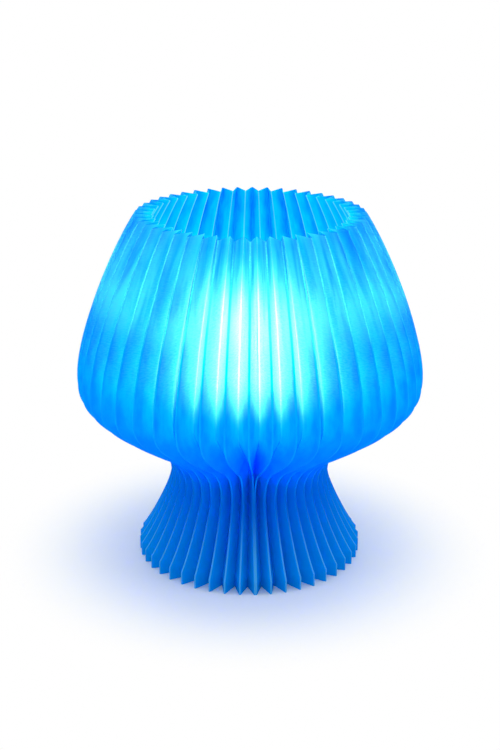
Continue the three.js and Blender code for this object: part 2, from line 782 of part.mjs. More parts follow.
function buildSwitch() {
  addPiece("switch_board", rod(switchBoardRadius, postTop, switchBoardTop, smallSides), boardGreen);
  const bodyHeight = switchBodyTop - switchBoardTop;
  const plungerBottom = switchBodyTop - plungerBite;
  const wellBottom = plungerBottom - buttonTravel - fitGap;
  const well = rod(plungerRadius + fitGap, wellBottom, switchBodyTop + overrun, smallSides);
  const body = block(switchBodySize, switchBodySize, bodyHeight, 0, 0, switchBoardTop).subtract(well);
  addPiece("latching_switch", body, switchBlack);
  addPiece("switch_plunger", rod(plungerRadius, plungerBottom, flangeBottom, smallSides), boardWhite);
}

function buildButton() {
  const top = capTop + buttonProud;
  const profile = [
    [0, flangeBottom],
    [buttonRadius + buttonFlange, flangeBottom],
    [buttonRadius + buttonFlange, flangeTop],
    [buttonRadius, flangeTop],
    [buttonRadius, top - buttonCrown],
    [buttonRadius - buttonCrown, top],
    [0, top],
  ];
  addPiece("power_button", turned(profile, tubeSides), housingWhite);
}

// Wires: a pair up the stem from the board to the post, and a pair from the battery to the board
function buildWires() {
  const boardTop = boardBottom + boardThickness;
  const rise = wireRise + boardTop;
  const start = boardFront + wireSpacing / 2;
  for (const [name, sign, material] of [["red", 1, wireRed], ["black", -1, wireBlack]]) {
    const x = (sign * wireSpacing) / 2;
    const lampRoute = [
      new THREE.Vector3(x, start, boardTop + fitGap),
      new THREE.Vector3(x, start - wireSpacing / 2, rise),
      new THREE.Vector3(x, wireSpacing, housingTop - spigotLength - wireSpacing),
      new THREE.Vector3(x, 0, housingTop),
      new THREE.Vector3(x, 0, neckHeight),
      new THREE.Vector3(x, 0, postBottom + postFlangeThickness),
    ];
    addPiece(`lamp_wire_${name}`, tube(lampRoute, wireRadius), material);
    const side = boardWidth / 4 + sign * wireSpacing;
    const batteryRear = batteryWidth - batteryFront;
    const batteryMiddle = ballastTop + batteryThickness / 2;
    const batteryRoute = [
      new THREE.Vector3(side, batteryRear + fitGap, batteryMiddle),
      new THREE.Vector3(side, batteryRear + wireRise, batteryMiddle),
      new THREE.Vector3(side, boardFront - wireRise, batteryMiddle),
      new THREE.Vector3(side, boardFront + wireSpacing / 2, rise),
      new THREE.Vector3(side, boardFront + wireSpacing, boardTop + fitGap),
    ];
    addPiece(`battery_wire_${name}`, tube(batteryRoute, wireRadius), material);
  }
}

buildBody();
buildMagnets();
buildHousing();
buildCover();
buildFootPads();
buildCoverScrews();
buildBallast();
buildBattery();
buildMainBoard();
buildChargeSocket();
buildStem();
buildNeckRing();
buildPost(buildCup());
buildLightStrips();
buildGlobe();
buildCap();
buildSwitch();
buildButton();
buildWires();

export default lamp;
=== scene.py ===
import math

import bpy
from mathutils import Matrix, Vector
from mathutils.geometry import interpolate_bezier


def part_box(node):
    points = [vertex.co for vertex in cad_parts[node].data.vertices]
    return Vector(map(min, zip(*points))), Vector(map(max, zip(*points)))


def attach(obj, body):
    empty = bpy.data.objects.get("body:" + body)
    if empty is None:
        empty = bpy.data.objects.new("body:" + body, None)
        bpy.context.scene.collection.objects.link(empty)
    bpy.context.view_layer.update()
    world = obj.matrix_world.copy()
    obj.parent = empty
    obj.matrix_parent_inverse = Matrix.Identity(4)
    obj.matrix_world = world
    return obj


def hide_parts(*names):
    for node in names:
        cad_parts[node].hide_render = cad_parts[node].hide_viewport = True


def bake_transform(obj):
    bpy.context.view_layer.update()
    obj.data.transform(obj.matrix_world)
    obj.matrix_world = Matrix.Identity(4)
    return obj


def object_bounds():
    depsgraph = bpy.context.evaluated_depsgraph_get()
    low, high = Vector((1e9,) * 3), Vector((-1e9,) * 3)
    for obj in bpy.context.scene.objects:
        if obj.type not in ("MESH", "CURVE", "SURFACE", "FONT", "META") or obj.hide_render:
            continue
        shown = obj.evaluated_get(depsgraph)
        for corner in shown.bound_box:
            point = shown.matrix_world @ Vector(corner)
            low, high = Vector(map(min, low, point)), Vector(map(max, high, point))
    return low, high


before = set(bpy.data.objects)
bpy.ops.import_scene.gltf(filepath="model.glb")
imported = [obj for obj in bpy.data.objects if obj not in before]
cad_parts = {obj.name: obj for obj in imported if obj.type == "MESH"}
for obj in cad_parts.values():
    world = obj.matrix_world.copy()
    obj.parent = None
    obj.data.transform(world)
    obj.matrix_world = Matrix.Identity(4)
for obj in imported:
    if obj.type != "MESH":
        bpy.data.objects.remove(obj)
cad_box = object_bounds()
scene = bpy.context.scene
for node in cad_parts.values():
    node.select_set(False)

# Camera: a short telephoto lens a little above the lamp, looking down on it, with the seam just right of
# the middle of the picture.
picture_height_px = 750
lens_px = 1452
sensor_size = 36
camera_distance = 0.875
camera_height = 0.435
camera_pitch = math.radians(19.83)
camera_azimuth = math.radians(-3.3)
camera_roll = math.radians(0.31)

camera_data = bpy.data.cameras.new("camera")
camera_data.sensor_width = sensor_size
camera_data.lens = lens_px * sensor_size / picture_height_px
camera = bpy.data.objects.new("camera", camera_data)
scene.collection.objects.link(camera)
camera.location = (
    camera_distance * math.sin(camera_azimuth),
    -camera_distance * math.cos(camera_azimuth),
    camera_height,
)
turned = Matrix.Rotation(camera_azimuth, 4, "Z") @ Matrix.Rotation(math.pi / 2 - camera_pitch, 4, "X")
camera.rotation_euler = (turned @ Matrix.Rotation(camera_roll, 4, "Z")).to_euler()
scene.camera = camera
scene.view_settings.view_transform = "Standard"

# World and floor: an even soft studio light, and a white table that runs on into a white background. Near
# the lamp the table shows its shadow and the blue light that comes through the pleats.
white = (1, 1, 1, 1)
room_brightness = 0.95
backdrop_brightness = 1.0
table_size = 12
table_colour = (0.81, 0.87, 0.83, 1)
table_roughness = 0.6
glow_span = (0.082, 0.165)
lamp_middle = Vector((0, 0, 0.12))
softboxes = [
    ("softbox_above", Vector((0.2, 0.3, 1.8)), 2.4, 2.4, 6),
    ("softbox_left", Vector((-1.3, -0.35, 0.75)), 0.5, 1.2, 3),
    ("softbox_right", Vector((1.3, -0.35, 0.75)), 0.5, 1.2, 3),
]


def add_node(tree, kind, inputs, **settings):
    """A new node with its settings, and with a value or another node's output in each input named."""
    node = tree.nodes.new(kind)
    for setting, value in settings.items():
        setattr(node, setting, value)
    for name, value in inputs.items():
        if isinstance(value, bpy.types.NodeSocket):
            tree.links.new(value, node.inputs[name])
        else:
            node.inputs[name].default_value = value
    return node


def calculate(operation, first, second):
    """One sum on two outputs, or on an output and a number."""
    tree = (first if isinstance(first, bpy.types.NodeSocket) else second).id_data
    return add_node(tree, "ShaderNodeMath", {0: first, 1: second}, operation=operation).outputs["Value"]


def product(first, second):
    return calculate("MULTIPLY", first, second)


def fade(value, span, before, after):
    """A smooth change from one number before the span to another after it."""
    inputs = {"Value": value, "From Min": span[0], "From Max": span[1], "To Min": before, "To Max": after}
    change = add_node(value.id_data, "ShaderNodeMapRange", inputs, interpolation_type="SMOOTHSTEP")
    return change.outputs["Result"]


def mix_light(share, below, above):
    return add_node(share.id_data, "ShaderNodeMixShader", {0: share, 1: below, 2: above}).outputs["Shader"]


def new_finish(name, colour, roughness, metal=0):
    """A finish, with the sockets that every kind here shares."""
    finish = bpy.data.materials.new(name)
    finish.use_nodes = True
    shader = finish.node_tree.nodes["Principled BSDF"]
    shader.inputs["Base Color"].default_value = colour
    shader.inputs["Roughness"].default_value = roughness
    shader.inputs["Metallic"].default_value = metal
    return finish, finish.node_tree, shader


def seen_share(tree):
    """1 where the camera sees this, also in gloss or through glass, and 0 for light that falls on it."""
    ray = tree.nodes.new("ShaderNodeLightPath")
    seen = calculate("MAXIMUM", ray.outputs["Is Camera Ray"], ray.outputs["Is Glossy Ray"])
    return calculate("MAXIMUM", seen, ray.outputs["Is Transmission Ray"])


world = bpy.data.worlds.new("studio")
scene.world = world
world.use_nodes = True
tree = world.node_tree
room_light = tree.nodes["Background"]
room_light.inputs["Color"].default_value = white
room_light.inputs["Strength"].default_value = room_brightness
backdrop = add_node(tree, "ShaderNodeBackground", {"Color": white, "Strength": backdrop_brightness})
light = mix_light(seen_share(tree), room_light.outputs["Background"], backdrop.outputs["Background"])
tree.links.new(light, tree.nodes["World Output"].inputs["Surface"])

bpy.ops.mesh.primitive_plane_add(size=table_size, location=(0, 0, cad_box[0][2]))
floor = bpy.context.object
floor.name = "floor"
floor_finish, tree, table = new_finish("table_white", table_colour, table_roughness)
place = tree.nodes.new("ShaderNodeTexCoord")
distance = add_node(tree, "ShaderNodeVectorMath", {0: place.outputs["Object"]}, operation="LENGTH")
white_share = fade(distance.outputs["Value"], glow_span, 0, 1)
white_share = product(white_share, seen_share(tree))
paper = tree.nodes.new("ShaderNodeEmission")
light = mix_light(white_share, table.outputs["BSDF"], paper.outputs["Emission"])
tree.links.new(light, tree.nodes["Material Output"].inputs["Surface"])
floor.data.materials.append(floor_finish)
bpy.ops.object.select_all(action="DESELECT")

for name, place, width, length, energy in softboxes:
    softbox = bpy.data.lights.new(name, "AREA")
    softbox.shape = "RECTANGLE"
    softbox.size = width
    softbox.size_y = length
    softbox.energy = energy
    stand = bpy.data.objects.new(name, softbox)
    scene.collection.objects.link(stand)
    stand.location = place
    stand.rotation_euler = (lamp_middle - place).to_track_quat("-Z", "Y").to_euler()

# The pleated body: one sheet of translucent blue polypropylene, pressed into 46 pleats and wrapped round.
# Its outline is cut so that the outer folds swell from the foot over a neck into the shade, and the leaves
# keep one width, so the inner folds draw in where the outer folds swell.
body_height = 0.226
rim_radius = 0.0715
shoulder_radius = 0.110
shoulder_height = 0.1215
neck_radius = 0.051
neck_height = 0.056
foot_radius = 0.0725
foot_height = 0.0085
pleat_count = 46
fold_count = 2 * pleat_count
leaf_width = 0.0125
fold_land = 0.0009
fold_rise = 0.0006
sheet_thickness = 0.00065
fold_smoothing = math.radians(20)
seam_merge_height = 0.054
seam_full_height = 0.113
gather_share = 0.009
gather_reach_share = 0.085
seam_spacing_share = 1 + gather_share - gather_share / gather_reach_share
notch_width = 0.015
notch_height = 0.0135
overrun = 0.001
cut_face_share = 0.99

flare_rise = neck_height - foot_height
flare_reach = foot_radius - neck_radius
bowl_rise = shoulder_height - neck_height
bowl_reach = shoulder_radius - neck_radius
hood_rise = body_height - shoulder_height
hood_reach = shoulder_radius - rim_radius


def flare_point(reach_share, rise_share):
    return Vector((foot_radius - reach_share * flare_reach, foot_height + rise_share * flare_rise))


def bowl_point(reach_share, rise_share):
    return Vector((neck_radius + reach_share * bowl_reach, neck_height + rise_share * bowl_rise))


def hood_point(reach_share, rise_share):
    return Vector((shoulder_radius - reach_share * hood_reach, shoulder_height + rise_share * hood_rise))


def straight_curve(start, end):
    return [start, start.lerp(end, 1 / 3), start.lerp(end, 2 / 3), end]


crest_start = Vector((foot_radius, 0))
cone_start = bowl_point(0.384, 0.401)
cone_end = bowl_point(0.515, 0.476)
curves_and_rows = [
    (straight_curve(crest_start, flare_point(0, 0)), 2),
    ([flare_point(0, 0), flare_point(0.18, 0.08), flare_point(1, 0.77), bowl_point(0, 0)], 14),
    ([bowl_point(0, 0), bowl_point(0, 0.25), bowl_point(0.302, 0.354), cone_start], 10),
    (straight_curve(cone_start, cone_end), 2),
    ([cone_end, bowl_point(0.968, 0.733), bowl_point(1, 0.831), hood_point(0, 0)], 14),
    ([hood_point(0, 0), hood_point(0, 0.263), hood_point(0.608, 0.783), hood_point(1, 1)], 18),
]
crest_line = [crest_start]
for corners, steps in curves_and_rows:
    crest_line += interpolate_bezier(*corners, steps + 1)[1:]
row_count = len(crest_line)


def smooth_share(value, low, high):
    share = min(max((value - low) / (high - low), 0), 1)
    return share * share * (3 - 2 * share)


def row_sizes(row):
    """The crest's radius and height, the leaf's direction inwards and half the seam pleat's angle."""
    crest = crest_line[row]
    before = crest_line[max(row - 1, 0)]
    after = crest_line[min(row + 1, row_count - 1)]
    along = (after - before).normalized()
    tilt = min(0, math.atan2(-along.x, along.y))
    merge = smooth_share(crest.y, seam_merge_height, seam_full_height)
    full_half = crest.x * math.sin(math.pi / pleat_count * seam_spacing_share)
    closed_half = fold_land / 2
    seam_half = math.asin((closed_half + (full_half - closed_half) * merge) / crest.x)
    return crest, Vector((-math.cos(tilt), -math.sin(tilt))), seam_half


def gathered(share):
    return share + gather_share * (share - 1 + (1 - share) ** (1 / gather_reach_share))


def crest_angle(seam_half, fold):
    if fold > pleat_count:
        return 2 * math.pi - crest_angle(seam_half, fold_count - fold)
    return seam_half + (math.pi - seam_half) * gathered((fold - 1) / (pleat_count - 1))


def fold_angle(seam_half, fold):
    """Folds are counted from the seam's inner fold, so outer folds have odd numbers."""
    if fold < 0:
        return -fold_angle(seam_half, -fold)
    if fold == 0:
        return 0.0
    if fold >= fold_count:
        return 2 * math.pi
    if fold % 2:
        return crest_angle(seam_half, fold)
    return (crest_angle(seam_half, fold - 1) + crest_angle(seam_half, fold + 1)) / 2


def fold_depth(crest, seam_half, fold):
    """How far a fold lies in from the crest, so that its leaves keep their width."""
    if fold % 2:
        return 0.0
    if fold in (0, fold_count):
        leaf_angle = seam_half
    else:
        fold = abs(fold)
        leaf_angle = (crest_angle(seam_half, fold + 1) - crest_angle(seam_half, fold - 1)) / 2
    across = crest.x * math.sin(leaf_angle)
    return crest.x * (1 - math.cos(leaf_angle)) + math.sqrt(leaf_width ** 2 - across ** 2) - fold_rise


def sheet_point(sizes, fold, aside):
    """A point of the outer face at a fold, or aside from it along the round."""
    crest, inward, seam_half = sizes
    angle = fold_angle(seam_half, fold)
    depth = fold_depth(crest, seam_half, fold)
    radius = crest.x + depth * inward.x
    height = crest.y + depth * inward.y
    return Vector((
        radius * math.sin(angle) + aside * math.cos(angle),
        -radius * math.cos(angle) + aside * math.sin(angle),
        height,
    ))


leaf_shares = (0, 1 / 3, 2 / 3)


def sheet_columns(first_fold, last_fold):
    """The columns of points across a run of leaves, each as a fold and a share of the way to the next."""
    columns = []
    for fold in range(math.floor(first_fold), math.ceil(last_fold)):
        low = first_fold - fold if fold < first_fold else 0
        high = last_fold - fold if fold + 1 > last_fold else 1
        if low:
            columns.append((fold, low))
        elif fold % 2:
            columns.append((fold, -1))
        columns += [(fold, share) for share in leaf_shares if low < share < high or share == low == 0]
        if high < 1:
            columns.append((fold, high))
    if last_fold == math.floor(last_fold):
        columns.append((last_fold, 0))
    return columns


def column_point(sizes, fold, share):
    """A negative share stands for the near edge of an outer fold's narrow land."""
    half = fold_land / 2
    if share < 0:
        return sheet_point(sizes, fold, -half)
    here = sheet_point(sizes, fold, half if fold % 2 else 0)
    if share == 0:
        return here
    return here.lerp(sheet_point(sizes, fold + 1, 0 if fold % 2 else -half), share)


def make_sheet(name, first_fold, last_fold):
    """A run of pleats between two folds, with its wall, its cut edges and a map that counts folds."""
    columns = sheet_columns(first_fold, last_fold)
    steps_across = len(columns) - 1
    bpy.ops.mesh.primitive_grid_add(x_subdivisions=steps_across, y_subdivisions=row_count - 1, size=1)
    sheet = bpy.context.object
    sheet.name = name
    mesh = sheet.data
    mesh.materials.append(film)
    mesh.materials.append(edge_glow_finish)
    uv_of = {}
    length = 0.0
    land_share = fold_land / 2 / leaf_width
    for row in range(row_count):
        sizes = row_sizes(row)
        if row:
            length += (crest_line[row] - crest_line[row - 1]).length
        for column, (fold, share) in enumerate(columns):
            index = row * len(columns) + column
            mesh.vertices[index].co = column_point(sizes, fold, share)
            across = share if share > 0 else land_share * (1 if share == 0 else -1) if fold % 2 else 0
            uv_of[index] = (fold + across, length / leaf_width)
    layer = mesh.uv_layers[0]
    for loop in mesh.loops:
        layer.data[loop.index].uv = uv_of[loop.vertex_index]
    bpy.ops.object.shade_smooth_by_angle(angle=fold_smoothing)
    wall = sheet.modifiers.new("wall", "SOLIDIFY")
    wall.thickness = sheet_thickness
    wall.offset = -1
    wall.use_even_offset = False
    bpy.ops.object.modifier_apply(modifier=wall.name)
    bpy.ops.object.shade_smooth_by_angle(angle=fold_smoothing)
    for face in mesh.polygons:
        at_edge = face.center.z < overrun or face.center.z > body_height - overrun
        if at_edge and abs(face.normal.z) > cut_face_share:
            face.material_index = 1
    sheet.select_set(False)
    return sheet


def block_piece(name, size, centre, edge=0):
    """A block, with its edges rounded where it has an edge."""
    bpy.ops.object.select_all(action="DESELECT")
    bpy.ops.mesh.primitive_cube_add(size=1, location=(0, 0, 0))
    piece = bpy.context.object
    piece.name = name
    bpy.ops.object.mode_set(mode="EDIT")
    bpy.ops.mesh.select_all(action="SELECT")
    bpy.ops.transform.resize(value=size, center_override=(0, 0, 0))
    if edge:
        bpy.ops.mesh.bevel(offset=edge, segments=4, affect="EDGES")
    bpy.ops.transform.translate(value=centre)
    bpy.ops.object.mode_set(mode="OBJECT")
    return piece


def combine(piece, other, operation, materials="INDEX"):
    """Cuts one piece out of another or fuses the two, and clears the other away."""
    joined = piece.modifiers.new("joined", "BOOLEAN")
    joined.operation = operation
    joined.material_mode = materials
    joined.object = other
    bpy.context.view_layer.objects.active = piece
    bpy.ops.object.modifier_apply(modifier=joined.name)
    bpy.data.objects.remove(other)


def cut_notch(sheet):
    """The opening for the charging plug, cut out of the folds of the foot at the back."""
    notch_size = (notch_width, 4 * leaf_width, notch_height + 2 * overrun)
    cutter = block_piece("notch", notch_size, (0, foot_radius, notch_height / 2 - overrun))
    cutter.data.materials.append(film)
    cutter.data.materials.append(edge_glow_finish)
    for face in cutter.data.polygons:
        face.material_index = 1
    combine(sheet, cutter, "DIFFERENCE", "TRANSFER")


# The film: polypropylene coloured right through, glossy and a little creased. Its colours are painted paler
# towards the valleys, as painted light, and darker on the crests, as painted shade. Spans of height are in
# metres. Spans across a leaf run from 0 at the inner fold to 1 at the outer fold.
surface_colour = (0.0, 0.26, 1.0, 1)
surface_valley_painted_light = (0.0, 0.5, 1.0, 1)
surface_crest_painted_shade = (0.0, 0.14, 0.62, 1)
foot_colour = (0.0, 0.36, 0.92, 1)
foot_valley_painted_light = (0.0, 0.45, 1.0, 1)
foot_crest_highlight_colour = (0.06, 0.4, 0.8, 1)
through_colour = (0.0, 0.16, 0.7, 1)
through_slope_painted_light = (0.0, 0.92, 1.0, 1)
through_valley_painted_light = (0.02, 0.9, 1.0, 1)
through_crest_colour = (0.0, 0.3, 0.75, 1)
through_bowl_painted_shade = (0.0, 0.15, 0.9, 1)
haze_colour = (0.005, 0.85, 1.0, 1)
haze_crest_shade = (0.0, 0.3, 0.9, 1)
glow_colour = (0.42, 1.0, 1.0, 1)
glow_rim_colour = (0.06, 0.95, 1.0, 1)
clear_crest_shade = (0.0, 0.3, 0.55, 1)
painted_sheen_colour = (0.12, 0.94, 1.0, 1)
valley_highlight_colour = (0.6, 1.0, 1.0, 1)
sheen_colour = (0.02, 0.42, 1.0, 1)
edge_glow_colour = (0.42, 0.55, 1.0, 1)

whole_leaf_span = (0.0, 1.0)
slope_span = (0.1, 0.9)
valley_span = (0.02, 0.14)
valley_highlight_span = (0.02, 0.06)
crest_span = (0.86, 0.97)
crest_land_span = (0.93, 0.97)
foot_span = (0.02, 0.075)
foot_highlight_span = (0.012, 0.05)
crest_shade_span = (0.05, 0.075)
bowl_span = (0.095, 0.14)
shade_span = (0.121, 0.151)
upper_highlight_span = (0.14, 0.17)
painted_sheen_span = (0.158, 0.188)
glow_rim_span = (0.196, 0.224)
rim_span = (0.212, 0.226)
tooth_reach = 0.011

valley_light_share = 0.65
mottle_share = 0.35
foot_through_share = 0.24
shade_through_share = 0.5
foot_haze_share = 0.03
shade_haze_share = 0.3
inside_haze_share = 0.3
foot_glow_share = 0.0
shade_glow_share = 0.145
inside_highlight_share = 0.35
outside_highlight_share = 0.75
least_painted_sheen_share = 0.15
rim_painted_sheen_share = 0.7
slope_glow_gain = 1.3
crest_glow_gain = 0.8
valley_glow_gain = 1.4
upper_glow_gain = 0.9
crease_light_gain = 0.36

mottle_span = (0.3, 0.7)
crease_span = (0.35, 0.65)
sheen_streak_span = (0.36, 0.62)
mottle_scale = 2.6
mottle_stretch = (1.0, 0.3, 1)
crease_scale = 11
crease_stretch = (0.45, 2.2, 1)
crease_slant = math.radians(25)
crease_height = 0.0006
crease_sharpness = 0.5
sheen_streak_scale = 1.7
sheen_streak_stretch = (1.0, 0.12, 1)
haze_roughness = 1.0
haze_bending = 1.45
glow_roughness = 0.86
glow_bending = 1.38
gloss_roughness = 0.15
edge_roughness = 0.4


def mix_colour(share, low, high):
    inputs = {0: share, 6: low, 7: high}
    return add_node(share.id_data, "ShaderNodeMix", inputs, data_type="RGBA").outputs[2]


def add_noise(tree, scale, stretch=(1, 1, 1), detail=3, distortion=0, slant=0, laid_on=None):
    """Uneven patches about 1 / scale wide, stretched as a tool or a mould leaves them."""
    laid_on = laid_on or tree.nodes.new("ShaderNodeTexCoord").outputs["Object"]
    inputs = {"Vector": laid_on, "Rotation": (0, 0, slant), "Scale": stretch}
    laid = add_node(tree, "ShaderNodeMapping", inputs)
    inputs = {"Vector": laid.outputs["Vector"], "Scale": scale, "Detail": detail, "Distortion": distortion}
    return add_node(tree, "ShaderNodeTexNoise", inputs).outputs["Fac"]


def clear_layer(colour, roughness, bending):
    """Light that comes through the film and is scattered on the way, painted darker at the crests as painted
    shade.
    """
    colour = mix_colour(crest, colour, clear_crest_shade)
    inputs = {"Color": colour, "Roughness": roughness, "IOR": bending, "Normal": bump.outputs["Normal"]}
    return add_node(tree, "ShaderNodeBsdfRefraction", inputs, distribution="GGX").outputs["BSDF"]


film = bpy.data.materials.new("blue_film")
film.use_nodes = True
tree = film.node_tree
tree.nodes.remove(tree.nodes["Principled BSDF"])
sheet_map = tree.nodes.new("ShaderNodeUVMap").outputs["UV"]
map_parts = add_node(tree, "ShaderNodeSeparateXYZ", {"Vector": sheet_map})
from_valley = calculate("PINGPONG", map_parts.outputs["X"], 1)
place = tree.nodes.new("ShaderNodeTexCoord")
place_parts = add_node(tree, "ShaderNodeSeparateXYZ", {"Vector": place.outputs["Object"]})
height = place_parts.outputs["Z"]

# Where on a leaf a point lies, and how the leaf was mottled and creased when it was pressed.
slope = fade(from_valley, whole_leaf_span, 1, 0)
valley = fade(from_valley, valley_span, 1, 0)
crest = fade(from_valley, crest_span, 0, 1)
crest_land = fade(from_valley, crest_land_span, 0, 1)
mottle = add_noise(tree, mottle_scale, mottle_stretch, detail=4, laid_on=sheet_map)
mottle = fade(mottle, mottle_span, 0, 1)
crease_lines = add_noise(
    tree, crease_scale, crease_stretch, detail=5, distortion=0.6, slant=crease_slant, laid_on=sheet_map
)
# The creases also make the haze and the glow painted brighter or dimmer along them.
crease_light = fade(crease_lines, crease_span, 1 - crease_light_gain, 1 + crease_light_gain)
sheen_streaks = add_noise(tree, sheen_streak_scale, sheen_streak_stretch, detail=5, distortion=0.3, laid_on=sheet_map)
sheen_streaks = fade(sheen_streaks, sheen_streak_span, least_painted_sheen_share, 1)
crease_inputs = {"Height": crease_lines, "Strength": crease_sharpness, "Distance": crease_height}
bump = add_node(tree, "ShaderNodeBump", crease_inputs)

# The colour of the surface: painted paler in the valleys, as painted light, painted darker on the crests of
# the foot and neck, as painted shade, and with a thin painted highlight down the crests at the bottom of the
# foot.
valley_light_tone = product(slope, valley_light_share)
tone = calculate("ADD", valley_light_tone, product(mottle, mottle_share))
surface = mix_colour(tone, surface_colour, surface_valley_painted_light)
foot_surface = mix_colour(slope, foot_colour, foot_valley_painted_light)
surface = mix_colour(fade(height, foot_span, 0, 1), foot_surface, surface)
# Painted shade: the crests of the foot and neck are painted darker.
crest_painted_shade = product(crest_land, fade(height, crest_shade_span, 1, 0))
surface = mix_colour(crest_painted_shade, surface, surface_crest_painted_shade)
# Painted highlight: a thin pale line down each crest at the bottom of the foot, where the fold catches the
# light.
foot_crest_highlight = product(crest_land, fade(height, foot_highlight_span, 1, 0))
surface = mix_colour(foot_crest_highlight, surface, foot_crest_highlight_colour)

# The colour of the light that soaks through: painted paler in the valleys, as painted light, and darker
# in the bowl below the lamp, as painted shade.
through = mix_colour(tone, through_colour, through_slope_painted_light)
through = mix_colour(valley, through, through_valley_painted_light)
through = mix_colour(crest, through, through_crest_colour)
# Painted shade: the light that soaks through is painted darker in the bowl below the lamp.
through = mix_colour(fade(height, bowl_span, 0, 1), through_bowl_painted_shade, through)
shine = add_node(tree, "ShaderNodeBsdfDiffuse", {"Color": surface}).outputs["BSDF"]
soak = add_node(tree, "ShaderNodeBsdfTranslucent", {"Color": through}).outputs["BSDF"]
# The foot is given a smaller share of light soaking through than the shade and more of its surface colour:
# painted light that brightens the foot.
light = mix_light(fade(height, shade_span, foot_through_share, shade_through_share), shine, soak)

# The outer face looks away from the lamp's axis. Painted highlights in uneven streaks lie on it over the
# upper shade in place of reflections, and a thin painted highlight runs down each valley, inside and out.
face = tree.nodes.new("ShaderNodeNewGeometry")
across = {"X": place_parts.outputs["X"], "Y": place_parts.outputs["Y"]}
across = add_node(tree, "ShaderNodeCombineXYZ", across).outputs["Vector"]
outwards = {0: face.outputs["True Normal"], 1: across}
outwards = add_node(tree, "ShaderNodeVectorMath", outwards, operation="DOT_PRODUCT")
outer_face = calculate("GREATER_THAN", outwards.outputs["Value"], 0)
inner_face = calculate("SUBTRACT", 1, outer_face)
# Painted highlight: pale streaks on the outer face of the upper shade, in place of reflections.
painted_sheen = product(fade(height, painted_sheen_span, 0, 1), sheen_streaks)
painted_sheen = product(painted_sheen, fade(height, rim_span, 1, rim_painted_sheen_share))
painted_sheen_layer = add_node(tree, "ShaderNodeBsdfTranslucent", {"Color": painted_sheen_colour}).outputs["BSDF"]
light = mix_light(product(painted_sheen, outer_face), light, painted_sheen_layer)
# Painted highlight: a thin pale line down each valley, on the inner faces and on the upper outer faces.
inside_highlight = product(inner_face, inside_highlight_share)
outside_highlight = fade(height, upper_highlight_span, 0, outside_highlight_share)
outside_highlight = product(outer_face, outside_highlight)
line = calculate("ADD", inside_highlight, outside_highlight)
line = product(fade(from_valley, valley_highlight_span, 1, 0), line)
valley_highlight_layer = add_node(tree, "ShaderNodeBsdfTranslucent", {"Color": valley_highlight_colour}).outputs["BSDF"]
light = mix_light(line, light, valley_highlight_layer)

# The haze is the broad blue light round the lamp. The glow in it is the lamp itself, seen blurred through
# the outer face. Both are painted darker towards the crests, as painted shade. Their shares are painted by
# height, so that the light lies in the shade above the foot and reaches lower along the valleys, which
# paints its toothed edge.
haze = mix_colour(slope, haze_crest_shade, haze_colour)
haze = clear_layer(haze, haze_roughness, haze_bending)
tooth = product(from_valley, tooth_reach)
glow_rim = fade(calculate("ADD", height, tooth), glow_rim_span, 0, 1)
glow = mix_colour(glow_rim, glow_colour, glow_rim_colour)
glow = clear_layer(glow, glow_roughness, glow_bending)
lower_edge = calculate("SUBTRACT", height, tooth)
haze_share = fade(lower_edge, shade_span, foot_haze_share, shade_haze_share)
haze_share = product(haze_share, crease_light)
haze_share = product(haze_share, fade(outer_face, (0, 1), inside_haze_share, 1))
light = mix_light(haze_share, light, haze)
# Painted light: the glow is painted stronger on the slopes and in the valleys than at the crests, stronger in
# the streaks of the upper shade, and uneven along the creases.
leaf_glow_gain = fade(from_valley, slope_span, slope_glow_gain, crest_glow_gain)
leaf_glow_gain = calculate("ADD", leaf_glow_gain, product(valley, valley_glow_gain))
leaf_glow_gain = product(leaf_glow_gain, crease_light)
glow_streak_gain = product(fade(height, painted_sheen_span, 0, upper_glow_gain), sheen_streaks)
leaf_glow_gain = product(leaf_glow_gain, calculate("ADD", glow_streak_gain, 1))
glow_share = fade(lower_edge, shade_span, foot_glow_share, shade_glow_share)
glow_share = product(glow_share, leaf_glow_gain)
glow_share = product(glow_share, outer_face)
light = mix_light(glow_share, light, glow)

# The gloss comes last. A leaf shows only the face that is turned to the viewer, as one layer of film.
gloss = {"Color": sheen_colour, "Roughness": gloss_roughness, "Normal": bump.outputs["Normal"]}
gloss = add_node(tree, "ShaderNodeBsdfGlossy", gloss)
fresnel = tree.nodes.new("ShaderNodeFresnel")
light = mix_light(fresnel.outputs["Fac"], light, gloss.outputs["BSDF"])
open_face = tree.nodes.new("ShaderNodeBsdfTransparent").outputs["BSDF"]
light = mix_light(face.outputs["Backfacing"], light, open_face)
tree.links.new(light, tree.nodes["Material Output"].inputs["Surface"])

# The cut edges of the sheet are painted paler than the film, a painted glow that stands in for light carried
# along the film to them.
edge_glow_finish = new_finish("cut_edge_glow", edge_glow_colour, edge_roughness)[0]

# The sheet is built in six runs between the folds where its hinges lie, each with the body that it rides on
# and the body that it bends away from. It runs on from one to the next without a break.
runs = [
    ("right_front", -0.1, 20.5, "right_middle"),
    ("right_middle", 20.5, 34.5, "right_rear"),
    ("right_rear", 34.5, 46.1, "light_unit"),
    ("left_rear", 46.1, 57.5, "light_unit"),
    ("left_middle", 57.5, 71.5, "left_rear"),
    ("left_front", 71.5, 91.9, "left_middle"),
]
for body, first_fold, last_fold, near in runs:
    sheet = make_sheet("sheet_" + body, first_fold, last_fold)
    side = 1 if "right" in body else -1
    if "rear" in body:
        cut_notch(sheet)
    near_solid = "shade_back" if near == "light_unit" else "shade_" + near
    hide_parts(near_solid, "shade_" + body)
    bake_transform(sheet)

